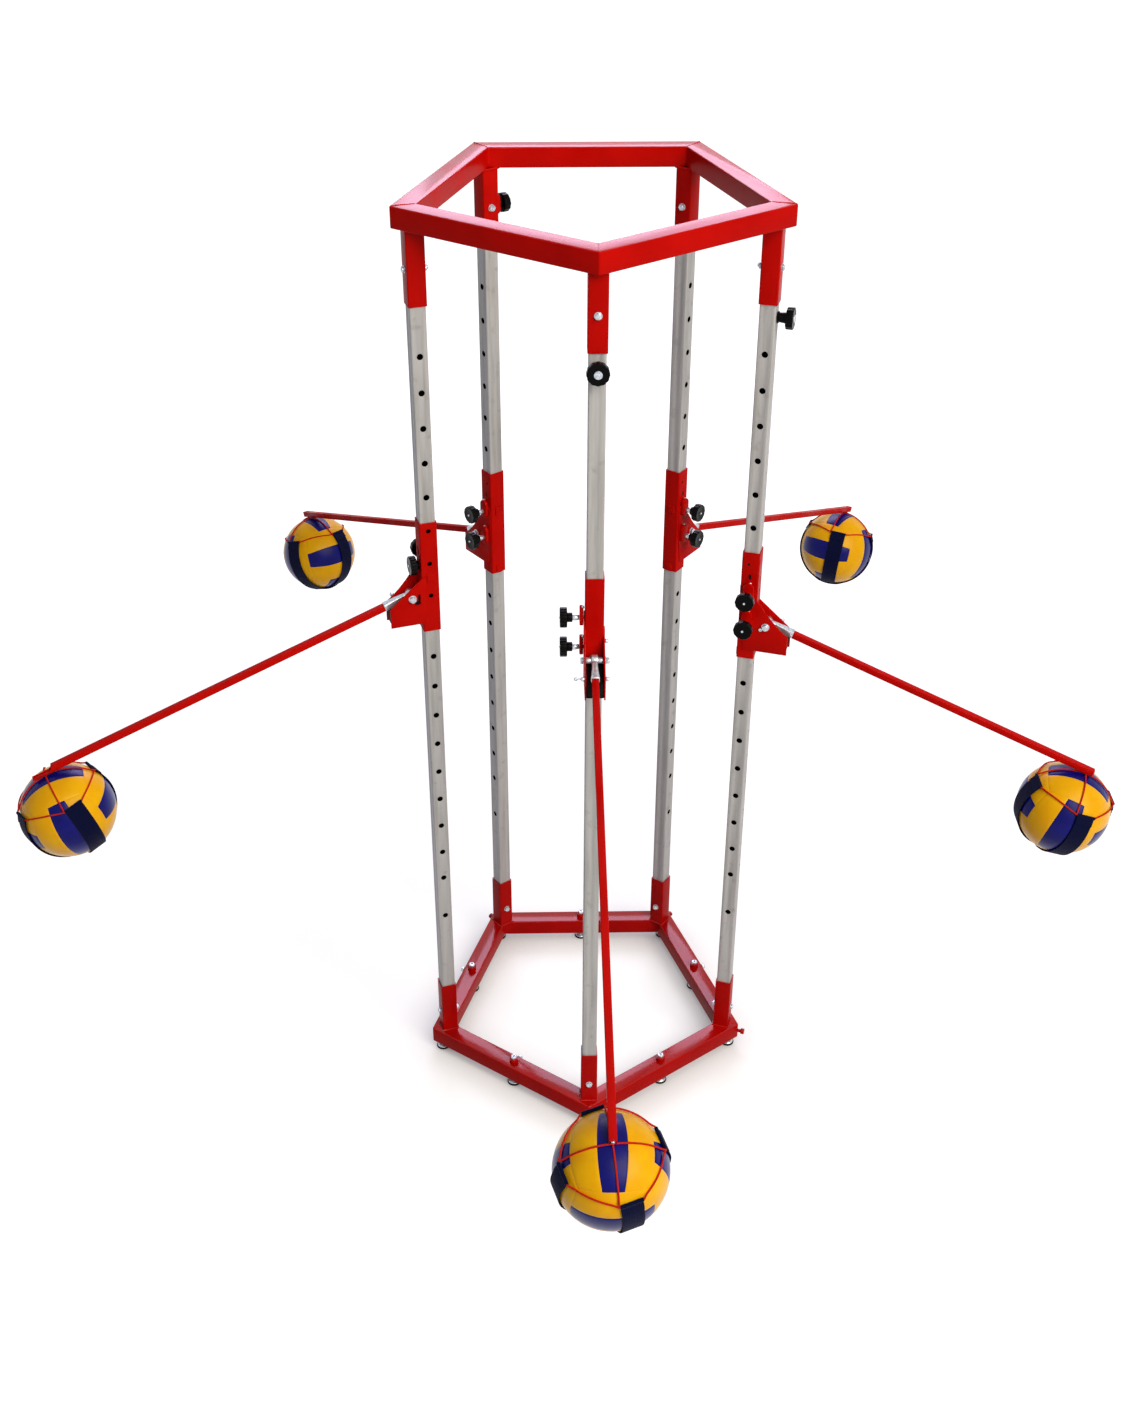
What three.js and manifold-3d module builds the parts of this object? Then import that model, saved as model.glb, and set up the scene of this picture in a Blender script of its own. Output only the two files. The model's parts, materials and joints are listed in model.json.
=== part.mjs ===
// Five-station volleyball passing machine: two pentagonal tube rings joined by five drilled square posts.
// A sleeve slides on each post, and carries a hinged arm that holds a ball in a strap harness.
// Millimetres, +Z up. The floor is z = 0, and the origin is under the middle of the part's own box.
import * as THREE from "three";
import { mergeVertices } from "three/addons/utils/BufferGeometryUtils.js";
import Module from "manifold-3d";

// Rings
const ringSide = 500;
const ringTube = 45;
const ringEdge = 3;
const frameHeight = 2220;
const cornerCount = 5;

// Clearances shared by all pieces
const touchGap = 0.3;
const cutOverrun = 2;

// Posts and the collars and sockets that hold their ends
const postWidth = 35;
const postWall = 2;
const postSetback = 45;
const collarWidth = 40;
const collarWall = 2;
const collarLength = 160;
const collarBoltRise = 75;
const socketLength = 150;
const socketBoltRise = 56;
const holeDiameter = 11;
const holePitch = 80;
const holeRows = 18;
const topHoleDrop = 107;
const lastHolePitchShare = 1.5;

// Bolts through the collars and sockets
const boltDiameter = 8;
const boltHeadDiameter = 13.5;
const boltHeadHeight = 5;
const boltNutDiameter = 15;
const boltNutHeight = 6.5;
const boltDomeShare = 0.6;

// Sleeves: square tube with two cheek plates, guide plates for the knobs and small welded pads
const sleeveWidth = 40;
const sleeveWall = 2;
const sleeveLength = 270;
const cheekThickness = 3;
const cheekSinkShare = 0.25;
const cheekGrip = 6;
const cheekReach = 95;
const cheekTopDrop = 134;
const cheekNoseDrop = 199;
const cheekBottomDrop = 247;
const tabTopDrop = 86;
const tabRadius = 17;
const tabTurns = [150, 100, 60, 20];
const archWidth = 30;
const archTopDrop = 161;
const archFootDrop = 240;
const guideLength = 46;
const guideWidth = 24;
const guideThickness = 11;
const guideRise = 5;
const padLength = 20;
const padWidth = 16;
const padThickness = 2.6;
const slotLength = 18;
const slotWidth = 6;
const slotDrop = 74;

// Knobs, the spring pin and the clamp screw
const knobDiameter = 43;
const knobThickness = 13;
const knobLobes = 8;
const knobLobeDepth = 2.5;
const hubDiameter = 20;
const hubLength = 11;
const bushDiameter = 13;
const bushNoseDiameter = 10;
const bushLength = 15;
const pinDiameter = 8;
const pinReach = 6;
const pinDrop = 100;
const clampDrop = 171;
const capDiameter = 11;
const capHeight = 1.6;
const topKnobDrop = 30;
const topKnobStand = 9;

// Pivot of the arm, rubber buffer and stop bar
const pivotDrop = 180;
const pivotReach = 43.5;
const pivotDiameter = 10;
const pivotHeadDiameter = 16;
const pivotHeadLength = 8;
const spacerDiameter = 14;
const eyeDiameter = 22;
const eyeWidth = 14;
const bufferSetback = 3;
const stopDiameter = 9;
const stopAlong = 48;
const stopProud = 1;
const stopPinProud = 10;
const stopBallDiameter = 8;
const stopBallStand = 9;
const stopRodDiameter = 4;

// Arm, with its ball contact point measured along the tube from the pivot
const armLength = 950;
const armTube = 15;
const armPastBall = 28;
const armDroop = 19;
const neckWidth = 12;
const neckLength = 38;
const armSocketWidth = 22;
const armSocketLength = 26;
const armSeat = 12;
const tipBoltDiameter = 7;
const tipBoltLength = 5;

// Ball and harness
const ballDiameter = 210;
const strapWidth = 42;
const strapThickness = 2;
const hemThickness = 5;
const hemLatitude = 34;
const ringDropShare = 0.25;
const strapSteps = 7;
const harnessTurn = 20;
const cordDiameter = 4;
const ringSteps = 8;
const riserSteps = 5;

// Levelling feet
const footHeight = 25;
const footPadDiameter = 34;
const footPadHeight = 9;
const footNutDiameter = 19;
const footNutHeight = 7;
const footStemDiameter = 10;
const footCornerDepth = 30;
const padEdgeShare = 0.5;
const bossDiameter = 22;
const bossHeight = 12;
const studProud = 7;
const studDiameter = 12;

// Lugs that stick out of three base corners
const lugDiameter = 15;
const lugLength = 9;
const lugNeckDiameter = 9;
const lugNeckLength = 7;

// The five stations in turn from the front. holeRow is the hole that the spring pin is in, counted down from
// the top hole as 0. Positive side puts the knobs on the left of the arm. The special one has a plain sleeve front
// and a stop pin with a ball end.
const stations = [
  { name: "front", holeRow: 6, armShare: 1.13, side: -1, topKnob: "post", lug: false, special: true },
  { name: "right", holeRow: 7, armShare: 0.83, side: -1, topKnob: "post", lug: true, special: false },
  { name: "back_right", holeRow: 7, armShare: 1.05, side: -1, topKnob: "none", lug: true, special: false },
  { name: "back_left", holeRow: 7, armShare: 1.01, side: 1, topKnob: "collar", lug: true, special: false },
  { name: "left", holeRow: 6, armShare: 0.94, side: -1, topKnob: "none", lug: false, special: false },
];
const beamNames = ["front_right", "right", "back", "left", "front_left"];

// Number of flats on round things
const holeSides = 5;
const roundSides = 6;
const archSteps = 3;
const ballSides = 10;
const ballRows = 7;

// Sizes that follow from the ones above
const cornerAngle = (2 * Math.PI) / cornerCount;
const ringRadius = ringSide / 2 / Math.sin(cornerAngle / 2);
const mitre = 1 / Math.cos(cornerAngle / 2);
const postRadius = ringRadius - postSetback;
const beamRadius = ringRadius / mitre - ringTube / 2;
const baseBottom = footHeight;
const baseTop = baseBottom + ringTube;
const topRingTop = baseBottom + frameHeight;
const topRingBottom = topRingTop - ringTube;
const collarBottom = topRingBottom - collarLength;
const topHole = collarBottom - topHoleDrop;
const lowHole = topHole - (holeRows - 1 + lastHolePitchShare) * holePitch;
const collarBolt = collarBottom + collarBoltRise;
const socketBolt = baseTop + socketBoltRise;
const topKnobHeight = collarBottom - topKnobDrop;
const sideKnobHeight = collarBolt;
const footRadius = ringRadius - (ringTube / 2) * mitre;
const sleeveFace = sleeveWidth / 2;
const cheekInner = sleeveFace - cheekThickness * cheekSinkShare;
const cheekOuter = cheekInner + cheekThickness;
const guideFace = sleeveFace + guideThickness;
const ballRadius = ballDiameter / 2;
const ballCentre = -(armTube / 2 + cordDiameter + 2 * touchGap + ballRadius);
const droop = THREE.MathUtils.degToRad(armDroop);

// Bore whose flats clear a round pin by the touching gap
const boreFor = (diameter) => (diameter + 2 * touchGap) / Math.cos(Math.PI / roundSides);

// Colours and finishes
const finish = (color, roughness, metalness) => new THREE.MeshStandardMaterial({ color, roughness, metalness });
const redPaint = finish(0xc80f08, 0.32, 0.1);
const steel = finish(0xb9b4a6, 0.35, 0.9);
const zinc = finish(0xaab4c0, 0.35, 0.9);
const blackPlastic = finish(0x101012, 0.45, 0);
const rubber = finish(0x0c0d0d, 0.85, 0);
const ballLeather = finish(0xf4b30a, 0.5, 0);
const webbing = finish(0x16264e, 0.85, 0);

// Solid modelling helpers
const wasm = await Module();
wasm.setup();

function signedVolume(position, index) {
  const corners = [0, 1, 2].map(() => new THREE.Vector3());
  let sum = 0;
  for (let i = 0; i < index.length; i += 3) {
    corners.forEach((corner, k) => corner.fromArray(position, 3 * index[i + k]));
    sum += corners[0].dot(corners[1].cross(corners[2]));
  }
  return sum;
}

// A closed geometry as a solid, with its faces turned out whichever way they ran
function solid(geometry) {
  const bare = geometry.clone();
  bare.deleteAttribute("normal");
  bare.deleteAttribute("uv");
  const merged = mergeVertices(bare);
  const vertProperties = new Float32Array(merged.attributes.position.array);
  const triVerts = Uint32Array.from(merged.index.array);
  if (signedVolume(vertProperties, triVerts) < 0) triVerts.reverse();
  return new wasm.Manifold(new wasm.Mesh({ numProp: 3, vertProperties, triVerts }));
}

// All the first geometries joined, with all the second ones cut away
function built(adds, cuts = []) {
  const whole = adds.map(solid).reduce((body, next) => body.add(next));
  const mesh = cuts.map(solid).reduce((body, next) => body.subtract(next), whole).getMesh();
  const geometry = new THREE.BufferGeometry();
  geometry.setAttribute("position", new THREE.BufferAttribute(new Float32Array(mesh.vertProperties), 3));
  geometry.setIndex(Array.from(mesh.triVerts));
  return geometry;
}

const moved = (matrix, geometries) => geometries.map((geometry) => geometry.clone().applyMatrix4(matrix));
const mirrored = (geometry) => built(moved(new THREE.Matrix4().makeScale(1, -1, 1), [geometry]));

// A box between two corners
function block([x0, y0, z0], [x1, y1, z1]) {
  const geometry = new THREE.BoxGeometry(x1 - x0, y1 - y0, z1 - z0);
  return geometry.translate((x0 + x1) / 2, (y0 + y1) / 2, (z0 + z1) / 2);
}

// A turned piece: pairs of diameter and place along its axis, which is X, Y or Z
function turned(axis, pairs, sides = roundSides, start = 0) {
  const rim = pairs.map(([diameter, along]) => new THREE.Vector2(diameter / 2, along));
  const ends = [rim[0], rim[rim.length - 1]].map((point) => new THREE.Vector2(0, point.y));
  const geometry = new THREE.LatheGeometry([ends[0], ...rim, ends[1]], sides, start);
  if (axis === "x") geometry.rotateZ(-Math.PI / 2);
  if (axis === "z") geometry.rotateX(Math.PI / 2);
  return geometry;
}

const rod = (axis, diameter, from, to, sides) => turned(axis, [[diameter, from], [diameter, to]], sides);
const extruded = (shape, depth) =>
  new THREE.ExtrudeGeometry(shape, { depth, bevelEnabled: false, curveSegments: archSteps });

// Square tube along Z
function squareTube(width, wall, bottom, top) {
  const square = (h) => [[h, -h], [h, h], [-h, h], [-h, -h]].map(([x, y]) => new THREE.Vector2(x, y));
  const shape = new THREE.Shape(square(width / 2));
  shape.holes.push(new THREE.Path(square(width / 2 - wall)));
  return extruded(shape, top - bottom).translate(0, 0, bottom);
}

// A flat plate with its outline in X and Z, between two places along Y
function plateAcross(points, from, to) {
  const shape = new THREE.Shape(points.map(([x, z]) => new THREE.Vector2(x, z)));
  return extruded(shape, to - from).rotateX(Math.PI / 2).translate(0, to, 0);
}

// An oval with round ends, for slots and guide plates
function oval(length, width) {
  const shape = new THREE.Shape();
  const straight = (length - width) / 2;
  shape.absarc(0, straight, width / 2, 0, Math.PI);
  shape.absarc(0, -straight, width / 2, Math.PI, 2 * Math.PI);
  return shape;
}

// Oval plate on the -Y side of a 40 mm tube
function guidePlate(height) {
  const sunk = sleeveWall / 2;
  return extruded(oval(guideLength, guideWidth), guideThickness + sunk)
    .rotateX(Math.PI / 2).translate(0, sunk - sleeveFace, height);
}

const stationAngle = (k) => -Math.PI / 2 + k * cornerAngle;
const turnTo = (angle, radius) =>
  new THREE.Matrix4().makeRotationZ(angle).multiply(new THREE.Matrix4().makeTranslation(radius, 0, 0));

// A pentagonal ring of tube between two heights, its corners on the stations
function ringBar(bottom, top) {
  const outer = ringRadius;
  const inner = ringRadius - ringTube * mitre;
  const e = ringEdge * mitre;
  const section = [
    [outer - e, bottom], [outer, bottom + ringEdge], [outer, top - ringEdge], [outer - e, top],
    [inner + e, top], [inner, top - ringEdge], [inner, bottom + ringEdge], [inner + e, bottom],
    [outer - e, bottom],
  ];
  const profile = section.map(([radius, height]) => new THREE.Vector2(radius, height));
  return new THREE.LatheGeometry(profile, cornerCount).rotateX(Math.PI / 2);
}

// The square tube that takes a post's end, with its bolt: head outside, nut inside
function collar(bottom, top, boltHeight) {
  const half = collarWidth / 2;
  const seat = half - collarWall / 2;
  const bolt = turned("x", [
    [boltNutDiameter, -half - boltNutHeight], [boltNutDiameter, -seat], [boltDiameter, -seat],
    [boltDiameter, seat], [boltHeadDiameter, seat], [boltHeadDiameter * boltDomeShare, half + boltHeadHeight],
  ]);
  return [squareTube(collarWidth, collarWall, bottom, top), bolt.translate(0, 0, boltHeight)];
}

// Base ring with its sockets, the holes and bosses for the feet, and the corner lugs
function baseRing() {
  const adds = [ringBar(baseBottom, baseTop)];
  const cuts = [];
  const stemHole = boreFor(footStemDiameter);
  const lugMiddle = baseBottom + ringTube / 2;
  stations.forEach((station, k) => {
    const angle = stationAngle(k);
    adds.push(...moved(turnTo(angle, postRadius), collar(baseTop - touchGap, baseTop + socketLength, socketBolt)));
    if (station.lug) {
      const lug = turned("x", [
        [lugNeckDiameter, -lugNeckLength], [lugNeckDiameter, lugNeckLength],
        [lugDiameter, lugNeckLength], [lugDiameter, lugNeckLength + lugLength],
      ]);
      adds.push(...moved(turnTo(angle, ringRadius), [lug.translate(0, 0, lugMiddle)]));
    }
    const cornerHole = rod("z", stemHole, baseBottom - cutOverrun, baseBottom + footCornerDepth + cutOverrun);
    cuts.push(...moved(turnTo(angle, footRadius), [cornerHole]));
    const beam = turnTo(angle + cornerAngle / 2, beamRadius);
    adds.push(...moved(beam, [rod("z", bossDiameter, baseTop - cutOverrun, baseTop + bossHeight)]));
    cuts.push(...moved(beam, [rod("z", stemHole, baseBottom - cutOverrun, baseTop + bossHeight + cutOverrun)]));
  });
  return built(adds, cuts);
}

// Top ring with the collars that hang from it
function topRing() {
  const adds = [ringBar(topRingBottom, topRingTop)];
  const cuts = [];
  stations.forEach((station, k) => {
    const spot = turnTo(stationAngle(k), postRadius);
    adds.push(...moved(spot, collar(collarBottom, topRingBottom + touchGap, collarBolt)));
    if (station.topKnob === "collar") {
      const hole = rod("y", boreFor(pinDiameter), -guideFace - cutOverrun, -postWidth / 2 - touchGap);
      adds.push(...moved(spot, [guidePlate(sideKnobHeight)]));
      cuts.push(...moved(spot, [hole.translate(0, 0, sideKnobHeight)]));
    }
  });
  return built(adds, cuts);
}

// Square post with a row of through holes across it and clearance holes for its bolts and top knob
function postSolid() {
  const reach = postWidth / 2 + cutOverrun;
  const rows = Array.from({ length: holeRows }, (_, row) => topHole - row * holePitch);
  const across = [...rows, lowHole].map((height) =>
    rod("y", holeDiameter, -reach, reach, holeSides).translate(0, 0, height));
  const along = [[collarBolt, -reach], [socketBolt, -reach], [topKnobHeight, 0]].map(([height, from]) =>
    rod("x", boreFor(boltDiameter), from, reach).translate(0, 0, height));
  const tube = squareTube(postWidth, postWall, baseTop + touchGap, topRingBottom - touchGap);
  return built([tube], [...across, ...along]);
}

// Sleeve with its knobs on the -Y side, its top edge at z = 0. The cheek on that side reaches up round the pin.
function sleeveSolid(slotted) {
  const root = sleeveFace - cheekGrip;
  const nose = [
    [sleeveFace, -cheekTopDrop], [cheekReach, -cheekNoseDrop], [cheekReach, -cheekBottomDrop],
    [root, -cheekBottomDrop],
  ];
  const tab = tabTurns.map(THREE.MathUtils.degToRad).map((turn) =>
    [tabRadius * Math.cos(turn), tabRadius * (Math.sin(turn) - 1) - tabTopDrop]);
  const sunk = sleeveFace - sleeveWall / 2;
  const padFace = sleeveFace + padThickness;
  const sidePad = block([-padWidth / 2, sunk, -padLength / 2], [padWidth / 2, padFace, padLength / 2]);
  const backPad = block([-padFace, -padWidth / 2, -padLength / 2], [-sunk, padWidth / 2, padLength / 2]);
  const adds = [
    squareTube(sleeveWidth, sleeveWall, -sleeveLength, 0),
    plateAcross([[root, -cheekTopDrop], ...nose], cheekInner, cheekOuter),
    plateAcross([...tab, ...nose], -cheekOuter, -cheekInner),
    guidePlate(guideRise - pinDrop),
    guidePlate(guideRise - clampDrop),
    sidePad.translate(0, 0, -(pinDrop + clampDrop) / 2),
    backPad.clone().translate(0, 0, -pinDrop),
    backPad.clone().translate(0, 0, padLength / 2 - sleeveLength),
  ];
  const far = sleeveFace + cutOverrun;
  const across = cheekOuter + cutOverrun;
  const frontSlot = (length, width) => extruded(oval(length, width), far).rotateX(Math.PI / 2).rotateZ(Math.PI / 2);
  const cuts = [
    ...[pinDrop, clampDrop].map((drop) =>
      rod("y", boreFor(pinDiameter), -guideFace - cutOverrun, 0).translate(0, 0, -drop)),
    ...[-1, 0, 1].map((row) => rod("y", holeDiameter, 0, far, holeSides).translate(0, 0, row * holePitch - pinDrop)),
    frontSlot(archFootDrop - archTopDrop, archWidth).translate(0, 0, -(archTopDrop + archFootDrop) / 2),
    rod("y", boreFor(pivotDiameter), -across, across).translate(pivotReach, 0, -pivotDrop),
  ];
  if (slotted) cuts.push(frontSlot(slotLength, slotWidth).translate(0, 0, -slotDrop));
  return built(adds, cuts);
}

// Lobed knob with its hub, bush and pin on the -Y side. The pin's tip and the face it stands on are given.
function knobSolid(tip, face, bush) {
  const outline = Array.from({ length: 2 * knobLobes }, (_, i) => {
    const radius = knobDiameter / 2 - (i % 2 ? knobLobeDepth : 0);
    const angle = (i * Math.PI) / knobLobes;
    return new THREE.Vector2(radius * Math.cos(angle), radius * Math.sin(angle));
  });
  const hub = face + bush;
  const back = hub + hubLength;
  const front = back + knobThickness;
  const disc = extruded(new THREE.Shape(outline), knobThickness).rotateX(Math.PI / 2).translate(0, -back, 0);
  const shank = turned("y", [
    [capDiameter, -front - capHeight], [hubDiameter, -back - knobThickness / 2], [hubDiameter, -hub],
    [bushDiameter, -hub], [bushNoseDiameter, -face - touchGap], [pinDiameter, -face - touchGap],
    [pinDiameter, -tip],
  ]);
  return built([disc, shank]);
}

// Bolt that the arm swings on, with a spacer on each side of the arm's eye
function pivotBoltSolid() {
  const seat = cheekOuter + touchGap;
  const spacerOuter = cheekInner - touchGap;
  const spacerInner = eyeWidth / 2 + touchGap;
  const half = [
    [pivotDiameter, spacerInner], [spacerDiameter, spacerInner], [spacerDiameter, spacerOuter],
    [pivotDiameter, spacerOuter], [pivotDiameter, seat], [pivotHeadDiameter, seat],
    [pivotHeadDiameter, seat + pivotHeadLength],
  ];
  const other = half.map(([diameter, along]) => [diameter, -along]).reverse();
  return built([turned("y", [...other, ...half])]);
}

// Rubber buffer between the cheeks, its top face just under the arm at rest
function bufferSolid() {
  const back = sleeveFace + touchGap;
  const nose = cheekReach - bufferSetback;
  const under = -pivotDrop - (eyeDiameter / 2 + touchGap) / Math.cos(droop);
  const topAt = (x) => under - (x - pivotReach) * Math.tan(droop);
  const foot = bufferSetback - cheekBottomDrop;
  const half = cheekInner - touchGap;
  return built([plateAcross([[back, topAt(back)], [nose, topAt(nose)], [nose, foot], [back, foot]], -half, half)]);
}

// Height of the stop bar over the arm's axis, so that it lies on the cheeks' slopes at rest
function stopRise() {
  const slope = Math.atan2(cheekNoseDrop - cheekTopDrop, cheekReach - sleeveFace);
  const lineOverPivot = (pivotDrop - cheekTopDrop) * Math.cos(slope) - (pivotReach - sleeveFace) * Math.sin(slope);
  const wanted = lineOverPivot + stopDiameter / 2 + touchGap;
  return (wanted - stopAlong * Math.sin(slope - droop)) / Math.cos(slope - droop);
}

// Arm along +X from its eye at the origin: rod end, square tube and the stop bar, which may be a pin with a ball end
function armSolid(length, pinned) {
  const socketEnd = neckLength + armSocketLength;
  const half = [neckWidth / 2, armTube / 2];
  const diagonal = Math.SQRT2 * armSocketWidth;
  const socket = turned("x", [
    [neckWidth, neckLength - armSeat], [diagonal, neckLength], [diagonal, socketEnd],
  ], 4, Math.PI / 4);
  const tubeEnd = length + armPastBall;
  const barEnd = cheekOuter + (pinned ? stopPinProud : stopProud);
  const bead = barEnd + stopBallStand;
  const ballEnd = [
    [stopRodDiameter, -bead - stopBallDiameter / 2], [stopBallDiameter, -bead],
    [stopRodDiameter, -bead + stopBallDiameter / 2], [stopRodDiameter, -barEnd],
  ];
  const bar = turned("y", [...(pinned ? ballEnd : []), [stopDiameter, -barEnd], [stopDiameter, barEnd]]);
  return built([
    rod("y", eyeDiameter, -eyeWidth / 2, eyeWidth / 2),
    block([0, -half[0], -half[0]], [neckLength + cutOverrun, half[0], half[0]]),
    socket,
    block([neckLength, -half[1], -half[1]], [tubeEnd, half[1], half[1]]),
    rod("x", tipBoltDiameter, tubeEnd - tipBoltLength, tubeEnd + tipBoltLength),
    bar.translate(stopAlong, 0, stopRise()),
  ], [rod("y", boreFor(pivotDiameter), -eyeWidth, eyeWidth)]);
}

const ballSolid = () => built([new THREE.SphereGeometry(ballRadius, ballSides, ballRows).rotateX(Math.PI / 2)]);

// Point over the ball from its azimuth, its latitude and its distance from the middle
function overBall(azimuth, latitude, radius) {
  const flat = radius * Math.cos(latitude);
  return new THREE.Vector3(flat * Math.cos(azimuth), flat * Math.sin(azimuth), radius * Math.sin(latitude));
}

// A flat band on the ball along given points with a thickness at each. It closes on itself or has square ends.
function band(points, width, thicknesses, closed = false) {
  const count = points.length;
  const near = (i) => points[closed ? (i + count) % count : Math.min(Math.max(i, 0), count - 1)];
  const vertices = points.flatMap((point, i) => {
    const up = point.clone().normalize();
    const across = near(i + 1).clone().sub(near(i - 1)).cross(up).normalize();
    return [[-1, 0], [1, 0], [1, 1], [-1, 1]].flatMap(([side, layer]) => point.clone()
      .addScaledVector(across, (side * width) / 2).addScaledVector(up, layer * thicknesses[i]).toArray());
  });
  const faces = [];
  const steps = closed ? count : count - 1;
  for (let i = 0; i < steps; i++) {
    for (let j = 0; j < 4; j++) {
      const [a, b] = [4 * i + j, 4 * i + ((j + 1) % 4)];
      const [c, d] = [b, a].map((corner) => (corner + 4) % (4 * count));
      faces.push(a, b, c, a, c, d);
    }
  }
  if (!closed) {
    const last = 4 * steps;
    faces.push(0, 2, 1, 0, 3, 2, last, last + 1, last + 2, last, last + 2, last + 3);
  }
  const geometry = new THREE.BufferGeometry();
  geometry.setAttribute("position", new THREE.BufferAttribute(new Float32Array(vertices), 3));
  geometry.setIndex(faces);
  return geometry;
}

// Two crossed straps under the ball with thick hems, a ring of elastic cord and two cords over the top
function harnessSolid() {
  const skin = ballRadius + touchGap;
  const hem = THREE.MathUtils.degToRad(hemLatitude);
  const strapStep = (Math.PI + 2 * hem) / strapSteps;
  const ringLatitude = hem - strapStep * ringDropShare;
  const riserStep = (Math.PI - 2 * ringLatitude) / riserSteps;
  const arc = (azimuth, from, step, steps) => Array.from({ length: steps + 1 }, (_, i) =>
    overBall(azimuth, from + i * step, skin / Math.cos(step / 2)));
  const cord = (points) => points.map(() => cordDiameter);
  const turn = THREE.MathUtils.degToRad(harnessTurn);
  const adds = [0, 1].flatMap((crossing) => {
    const azimuth = turn + (crossing * Math.PI) / 2;
    const strap = arc(azimuth, hem, -strapStep, strapSteps);
    const rise = arc(azimuth, ringLatitude, riserStep, riserSteps);
    const thick = strap.map((_, i) => (i % strapSteps ? strapThickness : hemThickness));
    return [band(strap, strapWidth, thick), band(rise, cordDiameter, cord(rise))];
  });
  const ringStep = (2 * Math.PI) / ringSteps;
  const ring = Array.from({ length: ringSteps }, (_, i) => {
    const point = overBall(turn + (i + 1 / 2) * ringStep, ringLatitude, skin + strapThickness);
    return point.multiply(new THREE.Vector3(1 / Math.cos(ringStep / 2), 1 / Math.cos(ringStep / 2), 1));
  });
  return built([...adds, band(ring, cordDiameter, cord(ring), true)]);
}

// Levelling foot on the floor: pad, lock nut under the ring and stem up into it, with a stud on top if it shows
function footSolid(stemTop, stud) {
  const nutTop = footHeight - touchGap;
  const nutBottom = nutTop - footNutHeight;
  const pairs = [
    [footPadDiameter, 0], [footPadDiameter, footPadHeight * padEdgeShare], [footNutDiameter, footPadHeight],
    [footStemDiameter, footPadHeight], [footStemDiameter, nutBottom], [footNutDiameter, nutBottom],
    [footNutDiameter, nutTop], [footStemDiameter, nutTop], [footStemDiameter, stemTop],
  ];
  if (stud) pairs.push([studDiameter, stemTop], [studDiameter, stemTop + studProud]);
  return built([turned("z", pairs)]);
}

// One of each shared piece
const pieces = {
  post: postSolid(),
  sleeve: sleeveSolid(true),
  plainSleeve: sleeveSolid(false),
  buffer: bufferSolid(),
  lockPin: knobSolid(postWidth / 2 - pinReach, guideFace, bushLength),
  clampKnob: knobSolid(postWidth / 2 + touchGap, guideFace, bushLength),
  postKnob: knobSolid(postWidth / 2 - pinReach, postWidth / 2, topKnobStand),
  collarKnob: knobSolid(postWidth / 2 + touchGap, guideFace, topKnobStand),
  pivotBolt: pivotBoltSolid(),
  ball: ballSolid(),
  harness: harnessSolid(),
  cornerFoot: footSolid(baseBottom + footCornerDepth, false),
  beamFoot: footSolid(baseTop + bossHeight + touchGap, true),
};

function group(parent, x, z, turn = 0) {
  const made = new THREE.Group();
  made.position.set(x, 0, z);
  made.rotation.z = turn;
  parent.add(made);
  return made;
}

function place(parent, name, geometry, material, x = 0, z = 0) {
  const mesh = new THREE.Mesh(geometry, material);
  mesh.name = name;
  mesh.position.set(x, 0, z);
  parent.add(mesh);
  return mesh;
}

// Sleeve with all that it carries, on the slide of one post
function addSlider(atPost, station) {
  const { name } = station;
  const handed = (geometry) => (station.side > 0 ? mirrored(geometry) : geometry);
  const slider = group(atPost, 0, topHole + pinDrop - station.holeRow * holePitch);
  place(slider, `sleeve_${name}`, handed(station.special ? pieces.plainSleeve : pieces.sleeve), redPaint);
  place(slider, `buffer_${name}`, pieces.buffer, rubber);
  place(slider, `lock_pin_${name}`, handed(pieces.lockPin), blackPlastic, 0, -pinDrop);
  place(slider, `clamp_knob_${name}`, handed(pieces.clampKnob), blackPlastic, 0, -clampDrop);
  place(slider, `pivot_bolt_${name}`, pieces.pivotBolt, zinc, pivotReach, -pivotDrop);
  const swing = group(slider, pivotReach, -pivotDrop);
  swing.rotation.y = droop;
  const length = armLength * station.armShare;
  place(swing, `arm_${name}`, handed(armSolid(length, station.special)), redPaint);
  place(swing, `ball_${name}`, pieces.ball, ballLeather, length, ballCentre);
  place(swing, `harness_${name}`, pieces.harness, webbing, length, ballCentre);
}

const machine = new THREE.Group();
place(machine, "base_ring", baseRing(), redPaint);
place(machine, "top_ring", topRing(), redPaint);
stations.forEach((station, k) => {
  const { name } = station;
  const spoke = group(machine, 0, 0, stationAngle(k));
  place(spoke, `foot_corner_${name}`, pieces.cornerFoot, rubber, footRadius);
  place(group(spoke, 0, 0, cornerAngle / 2), `foot_beam_${beamNames[k]}`, pieces.beamFoot, rubber, beamRadius);
  const atPost = group(spoke, postRadius, 0);
  place(atPost, `post_${name}`, pieces.post, steel);
  if (station.topKnob === "post") {
    place(atPost, `top_knob_${name}`, pieces.postKnob, blackPlastic, 0, topKnobHeight).rotation.z = Math.PI / 2;
  }
  if (station.topKnob === "collar") {
    place(atPost, `top_knob_${name}`, pieces.collarKnob, blackPlastic, 0, sideKnobHeight);
  }
  addSlider(atPost, station);
});

// The origin goes under the middle of the whole part
machine.updateMatrixWorld(true);
const middle = new THREE.Box3().setFromObject(machine, true).getCenter(new THREE.Vector3());
machine.position.set(-middle.x, -middle.y, 0);

export default machine;
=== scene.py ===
# Five-station volleyball passing machine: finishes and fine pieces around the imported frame.
# Lengths are named in millimetres and turned to metres where a mesh is made.
import json
import math

import bpy
from mathutils import Matrix, Vector


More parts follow.
